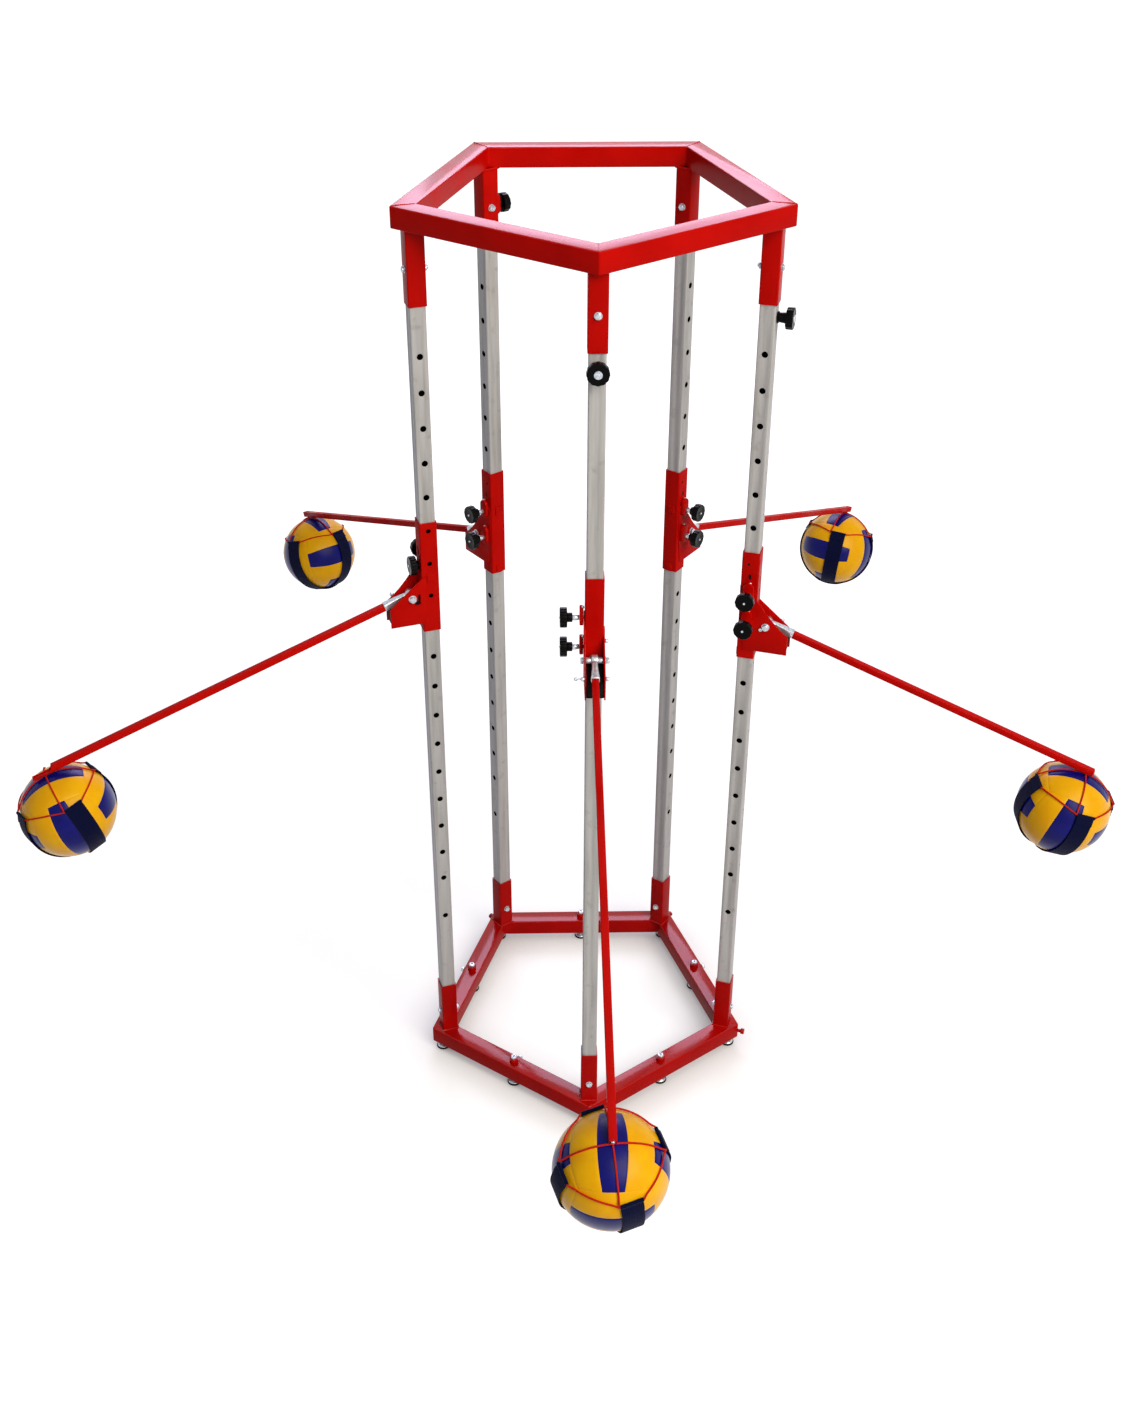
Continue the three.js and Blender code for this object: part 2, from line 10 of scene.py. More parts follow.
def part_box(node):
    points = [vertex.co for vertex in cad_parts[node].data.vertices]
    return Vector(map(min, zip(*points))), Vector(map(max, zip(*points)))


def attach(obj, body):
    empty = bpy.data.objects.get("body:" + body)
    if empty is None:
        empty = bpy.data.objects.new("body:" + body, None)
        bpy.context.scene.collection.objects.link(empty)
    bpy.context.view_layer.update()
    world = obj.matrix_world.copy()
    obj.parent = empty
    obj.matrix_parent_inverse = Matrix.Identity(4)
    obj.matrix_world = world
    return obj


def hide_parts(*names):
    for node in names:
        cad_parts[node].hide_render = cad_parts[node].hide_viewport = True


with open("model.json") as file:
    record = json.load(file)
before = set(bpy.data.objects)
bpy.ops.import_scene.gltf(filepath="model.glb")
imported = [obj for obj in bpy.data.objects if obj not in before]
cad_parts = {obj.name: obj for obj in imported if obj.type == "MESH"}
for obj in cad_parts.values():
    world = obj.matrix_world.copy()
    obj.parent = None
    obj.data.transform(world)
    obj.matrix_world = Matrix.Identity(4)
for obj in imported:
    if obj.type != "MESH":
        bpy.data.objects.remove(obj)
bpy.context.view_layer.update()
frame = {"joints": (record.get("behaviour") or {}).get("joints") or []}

MM = 0.001

# Gap left between two pieces that lie on each other
TOUCH_GAP = 0.3

# Rings, posts and sleeves
RING_TUBE = 45
RING_EDGE = 3
POST_WIDTH = 35
POST_WALL = 2
POST_EDGE = 3
COLLAR_WIDTH = 40
COLLAR_WALL = 2
COLLAR_EDGE = 3
COLLAR_LENGTH = 160
SOCKET_LENGTH = 150
POST_SETBACK = 45
HOLE_DIAMETER = 11
HOLE_PITCH = 80
HOLE_ROWS = 18
TOP_HOLE_DROP = 107
LAST_HOLE_PITCHES = 1.5
WELD = 2.4
WELD_RIPPLE = 0.25

# Small holes in the outer faces of two posts: diameter, place across and height
HOLE_RIM = 0.9
POST_HOLE = 13.5
SMALL_HOLES = {
    "right": [(5, 3, height) for height in (1180, 1127, 1049, 992, 923, 846, 762, 716, 660, 592)] + [
        (4, 3, 1706), (4, 3, 1660), (4, 2, 1560)],
    "back_right": [(5, 0, 1128), (3, 2, 1066), (5, 0, 946), (4, -1, 894), (3, 1, 846), (5, 0, 712),
                   (3, 0, 1712)],
}

# Bolts of the collars and sockets, in heights above or below the collar's end
COLLAR_BOLT_RISE = 75
SOCKET_BOLT_RISE = 56
BOLT_HEAD = 13.5
BOLT_HEAD_HEIGHT = 5
BOLT_SOCKET = 6
BOLT_NUT = 15
BOLT_NUT_HEIGHT = 6.5
WASHER = 16
WASHER_HEIGHT = 1.2

# Sleeves
SLEEVE_LENGTH = 270
CHEEK = 3
CHEEK_FACE = COLLAR_WIDTH / 2 + CHEEK - 1
CHEEK_REACH = 95
CHEEK_TOP_DROP = 134
CHEEK_NOSE_DROP = 199
CHEEK_BOTTOM_DROP = 247
TAB_TOP_DROP = 86
GUIDE_LENGTH = 46
GUIDE_WIDTH = 24
GUIDE_STAND = 3
GUIDE_PLATE = 8
GUIDE_FACE = COLLAR_WIDTH / 2 + GUIDE_STAND + GUIDE_PLATE
GUIDE_RISE = 5
PIN_DROP = 100
CLAMP_DROP = 171
PAD_LENGTH = 20
PAD_WIDTH = 16
PAD_THICKNESS = 2.6
SLOT_LENGTH = 18
SLOT_WIDTH = 9
SLOT_DROP = 74
SLOT_HOLE_DROP = 98
SLOT_HOLE = 6
DOT_DROP = 29
NOTCH = ((25, -171), (30, -171), (31, -186), (38, -190), (38, -197), (30, -198), (25, -196))
HOLLOW = ((45, -150), (62, -170), (79, -187))
ARCH_WIDTH = 30
ARCH_TOP_DROP = 180
ARCH_FOOT_DROP = 240

# Knobs
KNOB = 43
TOP_KNOB = 46
KNOB_THICKNESS = 16
KNOB_LOBES = 12
KNOB_LOBE_DEPTH = 0.9
HUB = 20
HUB_LENGTH = 11
BUSH = 13
BUSH_NOSE = 10
BUSH_LENGTH = 15
PIN = 8
PIN_REACH = 6
CAP = 17
CAP_HEIGHT = 1.2
INSERT = 5
TOP_KNOB_STAND = 9
OUTER_KNOB_DROP = 108

# Arm head and arm
PIVOT_OUT = 43.5
PIVOT_DROP = 180
PIVOT_BOLT = 10
PIVOT_HEAD = 16
PIVOT_HEAD_LENGTH = 8
SPACER = 14
EYE = 22
EYE_FINISH = 25
EYE_WIDTH = 14
NECK = 13
NECK_LENGTH = 38
SOCKET_WIDTH = 20
SOCKET_REACH = 26
NECK_HEIGHT = 16
NECK_TOP = 1.2
PINNED_REACH = 17
NECK_STRAIGHT = 16
ARM_TUBE = 15
# How far the arm's tube runs past the middle of the ball, and the two that end sooner
ARM_PAST_BALL = 28
ARM_ENDS_SOONER = {"front": 2, "right": 14}
ARM_DROOP = 19
ARM_BORE = 60
TONGUE = 4
TONGUE_START = 22
BEAD = 8
BEAD_STAND = 19
BEAD_STALK = 4

# Ball and harness
BALL = 210
SEAM_WIDTH = 2.6
SEAM_DEPTH = 1.0
STRAP_WIDTH = 42
STRAP_THICKNESS = 1.8
HEM_LENGTH = 20
HEM_LATITUDE = 32
HEM_ROLL = 7
HARNESS_TURN = 20
CORD = 3.6
SKIN_GAP = 0.4

# Feet
FOOT_HEIGHT = 25
FOOT_PAD = 34
FOOT_PAD_HEIGHT = 9
FOOT_NUT = 19
FOOT_NUT_HEIGHT = 7
FOOT_STEM = 10
BOSS = 22
BOSS_HEIGHT = 12
STUD_NUT = 17
STUD_WELL = 7
STUD_PROUD = 7
FOOT_PLATE = 31

# Nuts on the sides of three base beams: 1 is outside, -1 inside
SIDE_NUTS = {"front_left": -1, "left": 1, "right": 1}
SIDE_NUT = 15
SIDE_NUT_HEIGHT = 8
SIDE_NUT_DROP = 7

# Nuts on the cheeks, from the pivot outwards and up, with -1 on the knob side and 1 on the other
CHEEK_NUTS = {"front": [(41.5, -20, -1), (41.5, -20, 1), (-34, 28, 1)],
              "right": [(30, -3, 1)],
              "left": [(36, -6, -1)]}
CHEEK_NUT = 10
CHEEK_NUT_HEIGHT = 8
CHEEK_SCREW = (-11, -8)

STATIONS = ["front", "right", "back_right", "back_left", "left"]
BEAMS = ["front_right", "right", "back", "left", "front_left"]
MIRRORED = {"back_left"}
LUG_STATIONS = {"right", "back_right", "back_left"}
# One station has a plain sleeve and a short rod end, and one a tongue on its arm and a knob on its outer face
PLAIN_STATION = "front"
TONGUED_STATION = "left"

# Places that come from the frame
ring_low, ring_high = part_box("top_ring")
base_low, base_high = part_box("base_ring")
STEP = 2 * math.pi / len(STATIONS)
RING_RADIUS = (ring_high.x - ring_low.x) / (2 * math.cos(math.pi / 10)) / MM
POST_OUT = RING_RADIUS - POST_SETBACK
FOOT_OUT = RING_RADIUS - RING_TUBE / 2 / math.cos(math.pi / 5)
BEAM_OUT = RING_RADIUS * math.cos(math.pi / 5) - RING_TUBE / 2
CENTRE = Vector(((ring_low.x + ring_high.x) / 2, ring_low.y + RING_RADIUS * MM, 0))
TOP = ring_high.z / MM
TOP_BOTTOM = TOP - RING_TUBE
BASE_BOTTOM = base_low.z / MM
BASE_TOP = BASE_BOTTOM + RING_TUBE
COLLAR_BOTTOM = TOP_BOTTOM - COLLAR_LENGTH
TOP_HOLE = COLLAR_BOTTOM - TOP_HOLE_DROP
JOINTS = {joint["name"]: joint for joint in frame["joints"]}


def station_matrix(k, out=POST_OUT, height=0.0, extra=0.0):
    """Place of a station: its X points outwards, and its origin is on the post's axis."""
    turn = Matrix.Rotation(-math.pi / 2 + k * STEP + extra, 4, "Z")
    return Matrix.Translation(CENTRE) @ turn @ Matrix.Translation(Vector((out, 0, height)) * MM)


# Modelling helpers
def fresh():
    """Leaves nothing selected, so that an operator acts only on what is picked next."""
    if bpy.context.object and bpy.context.object.mode != "OBJECT":
        bpy.ops.object.mode_set(mode="OBJECT")
    bpy.ops.object.select_all(action="DESELECT")


def pick(piece):
    fresh()
    piece.select_set(True)
    bpy.context.view_layer.objects.active = piece
    return piece


def new_piece(name, points, edges, faces):
    """A piece made from its points in metres."""
    mesh = bpy.data.meshes.new(name)
    mesh.from_pydata(points, edges, faces)
    piece = bpy.data.objects.new(name, mesh)
    bpy.context.scene.collection.objects.link(piece)
    return piece


def discard(*pieces):
    for piece in pieces:
        bpy.data.objects.remove(piece)


def named(name):
    """Names what was just added, with its place and size put into its mesh."""
    piece = bpy.context.object
    piece.name = name
    piece.data.name = name
    bpy.ops.object.transform_apply(location=True, rotation=True, scale=True)
    return piece


def block(name, low, high):
    fresh()
    low, high = Vector(low) * MM, Vector(high) * MM
    bpy.ops.mesh.primitive_cube_add(size=1, location=(low + high) / 2, scale=high - low)
    return named(name)


AXIS_TURN = {"x": (0, math.pi / 2, 0), "y": (-math.pi / 2, 0, 0), "z": (0, 0, 0)}
AXIS_WAY = {"x": Vector((1, 0, 0)), "y": Vector((0, 1, 0)), "z": Vector((0, 0, 1))}


def rod(name, axis, diameter, start, end, at=(0, 0, 0), sides=24):
    """A cylinder along an axis, between two places on it, with that many sides."""
    fresh()
    middle = (Vector(at) + AXIS_WAY[axis] * (start + end) / 2) * MM
    bpy.ops.mesh.primitive_cylinder_add(
        vertices=sides, radius=diameter / 2 * MM, depth=(end - start) * MM,
        location=middle, rotation=AXIS_TURN[axis])
    return named(name)


def with_modifier(piece, kind, **settings):
    """Adds a modifier with its settings and applies it."""
    pick(piece)
    modifier = piece.modifiers.new(kind.lower(), kind)
    for key, value in settings.items():
        setattr(modifier, key, value)
    bpy.ops.object.modifier_apply(modifier=modifier.name)
    return piece


def rounded(piece, width, segments=3, angle=35):
    return with_modifier(
        piece, "BEVEL", width=width * MM, segments=segments, limit_method="ANGLE",
        angle_limit=math.radians(angle))


def cut(piece, cutters):
    """Cuts each cutter out of the piece, and removes the cutters."""
    for cutter in cutters:
        with_modifier(piece, "BOOLEAN", operation="DIFFERENCE", object=cutter, solver="EXACT")
        discard(cutter)
    return piece


def joined(name, pieces):
    pick(pieces[0])
    for piece in pieces:
        piece.select_set(True)
    if len(pieces) > 1:
        bpy.ops.object.join()
    made = bpy.context.object
    made.name = name
    made.data.name = name
    return made


def smooth(piece, angle=32):
    pick(piece)
    bpy.ops.object.shade_smooth_by_angle(angle=math.radians(angle))
    return piece


def moved(piece, offset):
    piece.data.transform(Matrix.Translation(Vector(offset) * MM))
    return piece


def pick_faces(piece, wanted):
    """Enters edit mode with only the wanted faces selected."""
    pick(piece)
    bpy.ops.object.mode_set(mode="EDIT")
    bpy.ops.mesh.select_mode(type="FACE")
    bpy.ops.mesh.select_all(action="DESELECT")
    bpy.ops.object.mode_set(mode="OBJECT")
    for face in piece.data.polygons:
        face.select = wanted(face)
    bpy.ops.object.mode_set(mode="EDIT")


def edit_all(piece):
    """Enters edit mode with everything selected."""
    pick(piece)
    bpy.ops.object.mode_set(mode="EDIT")
    bpy.ops.mesh.select_all(action="SELECT")


def leave_edit():
    bpy.ops.object.mode_set(mode="OBJECT")


def face_outwards(merge=0.0):
    """Merges points nearer than a distance in metres, turns the faces outwards and leaves edit mode."""
    if merge:
        bpy.ops.mesh.remove_doubles(threshold=merge)
    bpy.ops.mesh.normals_make_consistent(inside=False)
    leave_edit()


def hollow(piece, axis, wall):
    """Insets the two end faces by the wall and bridges them, which makes a tube of a bar."""
    way = AXIS_WAY[axis]
    pick_faces(piece, lambda face: abs(face.normal.dot(way)) > 0.99)
    bpy.ops.mesh.inset(thickness=wall * MM)
    bpy.ops.mesh.bridge_edge_loops()
    leave_edit()
    return piece


def square_tube(name, width, wall, edge, bottom, top):
    """Square tube along Z with its long edges rounded."""
    half = width / 2
    bar = block(name, (-half, -half, bottom), (half, half, top))
    pick(bar)
    bpy.ops.object.mode_set(mode="EDIT")
    bpy.ops.mesh.select_mode(type="EDGE")
    bpy.ops.mesh.select_all(action="DESELECT")
    leave_edit()
    for line in bar.data.edges:
        ends = [bar.data.vertices[i].co for i in line.vertices]
        line.select = abs(ends[0].z - ends[1].z) > edge * MM
    bpy.ops.object.mode_set(mode="EDIT")
    bpy.ops.mesh.bevel(offset=edge * MM, segments=4)
    leave_edit()
    return hollow(bar, "z", wall)


def turned(name, axis, profile, sides=32, soften=0.0):
    """A turned piece from pairs of diameter and place along its axis."""
    rim = [(diameter / 2, along) for diameter, along in profile]
    rim = [(0, rim[0][1])] + rim + [(0, rim[-1][1])]
    points = [(radius * MM, 0, along * MM) for radius, along in rim]
    piece = new_piece(name, points, [(i, i + 1) for i in range(len(points) - 1)], [])
    with_modifier(piece, "SCREW", axis="Z", steps=sides, render_steps=sides, use_merge_vertices=True,
                  merge_threshold=1e-6)
    edit_all(piece)
    face_outwards(1e-6)
    if soften:
        rounded(piece, soften, segments=2)
    if axis == "x":
        piece.data.transform(Matrix.Rotation(math.pi / 2, 4, "Y"))
    if axis == "y":
        piece.data.transform(Matrix.Rotation(-math.pi / 2, 4, "X"))
    return piece


def plate(name, outline, low, high, edge=0.6):
    """Flat plate with its outline in X and Z, between two places along Y."""
    points = [(x * MM, low * MM, z * MM) for x, z in outline]
    piece = new_piece(name, points, [], [tuple(range(len(outline)))])
    edit_all(piece)
    bpy.ops.mesh.extrude_region_move(TRANSFORM_OT_translate={"value": (0, (high - low) * MM, 0)})
    bpy.ops.mesh.select_all(action="SELECT")
    face_outwards()
    return rounded(piece, edge, segments=2) if edge else piece


def arc(middle, radius, start, end, steps):
    """Points of an arc in degrees, in the plane of an outline."""
    angles = [math.radians(start + (end - start) * i / steps) for i in range(steps + 1)]
    return [(middle[0] + radius * math.cos(a), middle[1] + radius * math.sin(a)) for a in angles]


def oval(length, width, height):
    """Outline with straight sides and round ends, upright about a height."""
    straight = (length - width) / 2
    return (arc((0, height + straight), width / 2, 0, 180, 10)
            + arc((0, height - straight), width / 2, 180, 360, 10))


def swept(name, path, ups, section):
    """A section swept along a path. Its Y follows the given up vectors, and its UV is in millimetres."""
    count, sides = len(path), len(section)
    points, lengths = [], [0.0]
    for i, point in enumerate(path):
        ahead = (path[min(i + 1, count - 1)] - path[max(i - 1, 0)]).normalized()
        up = ups[i].normalized()
        across = ahead.cross(up).normalized()
        up = across.cross(ahead)
        points += [(point + (across * x + up * y)) * MM for x, y in section]
        if i:
            lengths.append(lengths[-1] + (point - path[i - 1]).length)
    faces = []
    for i in range(count - 1):
        for j in range(sides):
            a, b = sides * i + j, sides * i + (j + 1) % sides
            faces.append((a, a + sides, b + sides, b))
    faces.append(tuple(range(sides)))
    faces.append(tuple(sides * (count - 1) + j for j in reversed(range(sides))))
    piece = new_piece(name, points, [], faces)
    around = [0.0]
    for j in range(sides):
        around.append(around[-1] + (Vector(section[(j + 1) % sides]) - Vector(section[j])).length)
    layer = piece.data.uv_layers.new(name="UVMap")
    for face in piece.data.polygons[:(count - 1) * sides]:
        i, j = divmod(face.index, sides)
        corners = [(around[j], lengths[i]), (around[j], lengths[i + 1]),
                   (around[j + 1], lengths[i + 1]), (around[j + 1], lengths[i])]
        for loop, corner in zip(face.loop_indices, corners):
            layer.data[loop].uv = corner
    edit_all(piece)
    face_outwards()
    return smooth(piece, 40)


def ring_section(diameter, sides=10):
    return [(diameter / 2 * math.cos(2 * math.pi * j / sides), diameter / 2 * math.sin(2 * math.pi * j / sides))
            for j in range(sides)]


def copied(piece, name):
    twin = piece.copy()
    twin.data = piece.data.copy()
    twin.name = name
    twin.data.name = name
    bpy.context.scene.collection.objects.link(twin)
    return twin


def riding(piece, body, nodes=()):
    """Puts a piece on its body, standing for its nodes."""
    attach(piece, body)
    if nodes:
        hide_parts(*nodes)
    return piece


def seated(piece, name, matrix, body, nodes=(), mirrored=False):
    """A copy of a piece at its place, riding on its body and standing for its nodes."""
    twin = copied(piece, name)
    if mirrored:
        twin.data.transform(Matrix.Scale(-1, 4, (0, 1, 0)))
        twin.data.flip_normals()
    twin.data.transform(matrix)
    return riding(twin, body, nodes)


def side_ends(way, near, far):
    """Two places on one side of the middle, -1 or 1, in rising order."""
    return sorted((way * near, way * far))


# Materials
def linear(hex_colour):
    """An sRGB hex colour as linear red, green, blue and alpha."""
    parts = [int(hex_colour[i:i + 2], 16) / 255 for i in (1, 3, 5)]
    return [c / 12.92 if c <= 0.04045 else ((c + 0.055) / 1.055) ** 2.4 for c in parts] + [1.0]


def new_material(name):
    material = bpy.data.materials.new(name)
    material.use_nodes = True
    material.node_tree.nodes.clear()
    return material


def add(material, kind, settings=None, **inputs):
    """Adds a node, sets its settings, and gives each input a value or another node's output.

    An input is named with _ for a space, or by its number after a _ where several share a name.
    """
    made = material.node_tree.nodes.new(kind)
    for key, value in (settings or {}).items():
        setattr(made, key, value)
    for key, value in inputs.items():
        socket = made.inputs[int(key[1:]) if key[1:].isdigit() else key.replace("_", " ")]
        if isinstance(value, bpy.types.NodeSocket):
            material.node_tree.links.new(value, socket)
        else:
            socket.default_value = value
    return made


def surface(material, bump=None, **sockets):
    """The material's shader and output, with an optional bump from a height and its depth in metres."""
    if bump:
        height, depth = bump
        bumped = add(material, "ShaderNodeBump", Height=height, Strength=1.0, Distance=depth)
        sockets["Normal"] = bumped.outputs[0]
    shader = add(material, "ShaderNodeBsdfPrincipled", **sockets)
    add(material, "ShaderNodeOutputMaterial", Surface=shader.outputs[0])
    return material


def powder_coat(name, light, dark, shine, dullest):
    """Polyester powder coat baked on steel: a deep plain red and orange peel, with a coat gloss that grows on
    faces that look up, a painted sheen for glare on top faces.
    """
    material = new_material(name)
    place = add(material, "ShaderNodeTexCoord").outputs["Object"]
    cloud = add(material, "ShaderNodeTexNoise", Vector=place, Scale=1 / 0.09, Detail=3.0).outputs["Fac"]
    spread = add(material, "ShaderNodeMapRange", Value=cloud, From_Min=0.35, From_Max=0.65).outputs[0]
    colour = add(material, "ShaderNodeMixRGB", Fac=spread, Color1=linear(dark),
                 Color2=linear(light)).outputs[0]
    rough = add(material, "ShaderNodeMapRange", Value=cloud, From_Min=0.3, From_Max=0.7, To_Min=0.3,
                To_Max=dullest).outputs[0]
    peel = add(material, "ShaderNodeTexNoise", Vector=place, Scale=1 / 0.003, Detail=2.0).outputs["Fac"]
    # Painted sheen: the coat's gloss grows on faces that look up, so that top faces show more glare.
    normal = add(material, "ShaderNodeTexCoord").outputs["Normal"]
    upward = add(material, "ShaderNodeSeparateXYZ", Vector=normal).outputs["Z"]
    gloss = add(material, "ShaderNodeMapRange", Value=upward, From_Min=0.3, From_Max=0.8, To_Min=0.03,
                To_Max=shine).outputs[0]
    return surface(material, (peel, 0.00004), Base_Color=colour, Roughness=rough, Specular_IOR_Level=0.03,
                   Coat_Weight=gloss, Coat_Roughness=0.13, Coat_IOR=1.5)


def brushed_stainless():
    """Welded stainless tube with a dulled belt-brushed grain along its length, grey draw marks and stains."""
    material = new_material("brushed_stainless")
    place = add(material, "ShaderNodeTexCoord").outputs["Object"]
    along = add(material, "ShaderNodeMapping", Vector=place, Scale=(1, 1, 0.02)).outputs[0]
    grain = add(material, "ShaderNodeTexNoise", Vector=along, Scale=1 / 0.0016, Detail=4.0).outputs["Fac"]
    drawn = add(material, "ShaderNodeMapping", Vector=place, Scale=(1, 1, 0.05)).outputs[0]
    marks = add(material, "ShaderNodeTexNoise", Vector=drawn, Scale=1 / 0.012, Detail=4.0).outputs["Fac"]
    streak = add(material, "ShaderNodeMapRange", Value=marks, From_Min=0.45, From_Max=0.8,
                 To_Max=0.6).outputs[0]
    stain = add(material, "ShaderNodeTexNoise", Vector=place, Scale=1 / 0.03, Detail=6.0).outputs["Fac"]
    spot = add(material, "ShaderNodeMapRange", Value=stain, From_Min=0.6, From_Max=0.75, To_Max=0.5).outputs[0]
    body = add(material, "ShaderNodeMixRGB", Fac=streak, Color1=linear("#C3C4C5"),
               Color2=linear("#8C8B88")).outputs[0]
    colour = add(material, "ShaderNodeMixRGB", Fac=spot, Color1=body, Color2=linear("#94918C")).outputs[0]
    rough = add(material, "ShaderNodeMapRange", Value=grain, From_Min=0.25, From_Max=0.75, To_Min=0.36,
                To_Max=0.5).outputs[0]
    return surface(material, (grain, 0.00003), Base_Color=colour, Roughness=rough, Metallic=0.15,
                   Specular_IOR_Level=0.1)


def shade_black_finish():
    """Near-black with a blue cast, dull: painted shade on the posts' inner walls seen through their holes and on
    the strips behind the sleeves' slots, and the colour of the disc in each sleeve's dot hole.
    """
    material = new_material("painted_shade_black")
    place = add(material, "ShaderNodeTexCoord").outputs["Object"]
    speckle = add(material, "ShaderNodeTexNoise", Vector=place, Scale=1 / 0.012, Detail=5.0).outputs["Fac"]
    colour = add(material, "ShaderNodeMixRGB", Fac=speckle, Color1=linear("#0A0B0D"),
                 Color2=linear("#1E1F22")).outputs[0]
    return surface(material, (speckle, 0.0001), Base_Color=colour, Roughness=0.8, Specular_IOR_Level=0.05)


def zinc_plate():
    """Bright zinc plate on fasteners and rod ends: bluish white with a soft, mottled shine."""
    material = new_material("bright_zinc_plate")
    place = add(material, "ShaderNodeTexCoord").outputs["Object"]
    mottle = add(material, "ShaderNodeTexNoise", Vector=place, Scale=1 / 0.005, Detail=3.0).outputs["Fac"]
    spread = add(material, "ShaderNodeMapRange", Value=mottle, From_Min=0.35, From_Max=0.65).outputs[0]
    colour = add(material, "ShaderNodeMixRGB", Fac=spread, Color1=linear("#DCE3EA"),
                 Color2=linear("#AAB4C0")).outputs[0]
    rough = add(material, "ShaderNodeMapRange", Value=mottle, From_Min=0.3, From_Max=0.7, To_Min=0.16,
                To_Max=0.32).outputs[0]
    return surface(material, (mottle, 0.00004), Base_Color=colour, Roughness=rough, Metallic=0.65)


def moulded_nylon():
    """Black glass-filled nylon of the knobs, moulded with a fine spark-eroded grain."""
    material = new_material("black_moulded_nylon")
    place = add(material, "ShaderNodeTexCoord").outputs["Object"]
    grain = add(material, "ShaderNodeTexNoise", Vector=place, Scale=1 / 0.0008, Detail=2.0).outputs["Fac"]
    rough = add(material, "ShaderNodeMapRange", Value=grain, From_Min=0.3, From_Max=0.7, To_Min=0.3,
                To_Max=0.44).outputs[0]
    facing = add(material, "ShaderNodeLayerWeight", Blend=0.5).outputs["Facing"]
    gloss = add(material, "ShaderNodeMapRange", Value=facing, From_Min=0.3, From_Max=0.9,
                To_Max=0.25).outputs[0]
    return surface(material, (grain, 0.00005), Base_Color=linear("#040405"), Roughness=rough,
                   Specular_IOR_Level=0.06, Coat_Weight=gloss, Coat_Roughness=0.2)


def black_rubber():
    """Moulded natural rubber of the buffers and foot pads: dull black with a dusty bloom."""
    material = new_material("black_rubber")
    place = add(material, "ShaderNodeTexCoord").outputs["Object"]
    bloom = add(material, "ShaderNodeTexNoise", Vector=place, Scale=1 / 0.015, Detail=4.0).outputs["Fac"]
    dust = add(material, "ShaderNodeMapRange", Value=bloom, From_Min=0.4, From_Max=0.7).outputs[0]
    colour = add(material, "ShaderNodeMixRGB", Fac=dust, Color1=linear("#060707"),
                 Color2=linear("#141516")).outputs[0]
    grain = add(material, "ShaderNodeTexNoise", Vector=place, Scale=1 / 0.001, Detail=2.0).outputs["Fac"]
    return surface(material, (grain, 0.0001), Base_Color=colour, Roughness=0.75, Specular_IOR_Level=0.1)


def ball_leather(name, light, dark):
    """Microfibre leather panel of a volleyball, its fine dimples drawn at 2.6 mm so that they show."""
    material = new_material(name)
    place = add(material, "ShaderNodeTexCoord").outputs["Object"]
    tone = add(material, "ShaderNodeTexNoise", Vector=place, Scale=1 / 0.04, Detail=3.0).outputs["Fac"]
    spread = add(material, "ShaderNodeMapRange", Value=tone, From_Min=0.35, From_Max=0.65).outputs[0]
    colour = add(material, "ShaderNodeMixRGB", Fac=spread, Color1=linear(light), Color2=linear(dark)).outputs[0]
    dimples = add(material, "ShaderNodeTexVoronoi", Vector=place, Scale=1 / 0.0026).outputs["Distance"]
    facing = add(material, "ShaderNodeLayerWeight", Blend=0.5).outputs["Facing"]
    gloss = add(material, "ShaderNodeMapRange", Value=facing, From_Min=0.3, From_Max=1.0, To_Max=0.5).outputs[0]
    return surface(material, (dimples, 0.00012), Base_Color=colour, Roughness=0.34, Specular_IOR_Level=0.16,
                   Coat_Weight=gloss, Coat_Roughness=0.3)


def woven_webbing():
    """Navy polyester webbing: a flat ribbed weave drawn a little coarse, 2.4 mm to a rib, so that it shows."""
    material = new_material("navy_webbing")
    place = add(material, "ShaderNodeUVMap", {"uv_map": "UVMap"}).outputs[0]
    ribs = add(material, "ShaderNodeTexWave", {"bands_direction": "Y"}, Vector=place, Scale=0.314 / 2.4,
               Distortion=0.3).outputs["Fac"]
    threads = add(material, "ShaderNodeTexWave", {"bands_direction": "X"}, Vector=place, Scale=0.314 / 3.0,
                  Distortion=0.4).outputs["Fac"]
    weave = add(material, "ShaderNodeMath", {"operation": "MULTIPLY"}, _0=ribs, _1=threads).outputs[0]
    colour = add(material, "ShaderNodeMixRGB", Fac=weave, Color1=linear("#03061F"),
                 Color2=linear("#0A1450")).outputs[0]
    return surface(material, (weave, 0.0004), Base_Color=colour, Roughness=0.7, Specular_IOR_Level=0.06,
                   Sheen_Weight=0.05, Sheen_Roughness=0.4)


def braided_cord():
    """Red elastic cord in a braided polyester cover, its strands winding at a slant."""
    material = new_material("red_braided_cord")
    place = add(material, "ShaderNodeUVMap", {"uv_map": "UVMap"}).outputs[0]
    strands = add(material, "ShaderNodeTexWave", {"bands_direction": "DIAGONAL"}, Vector=place,
                  Scale=0.628 / 2.0, Distortion=0.2).outputs["Fac"]
    colour = add(material, "ShaderNodeMixRGB", Fac=strands, Color1=linear("#A80A06"),
                 Color2=linear("#EE3420")).outputs[0]
    return surface(material, (strands, 0.0003), Base_Color=colour, Roughness=0.6, Specular_IOR_Level=0.12)


RED = powder_coat("red_gloss_powder_coat", "#CE0A03", "#C20600", 0.28, 0.4)
SATIN = powder_coat("red_satin_powder_coat", "#CE0A03", "#C20600", 0.1, 0.7)
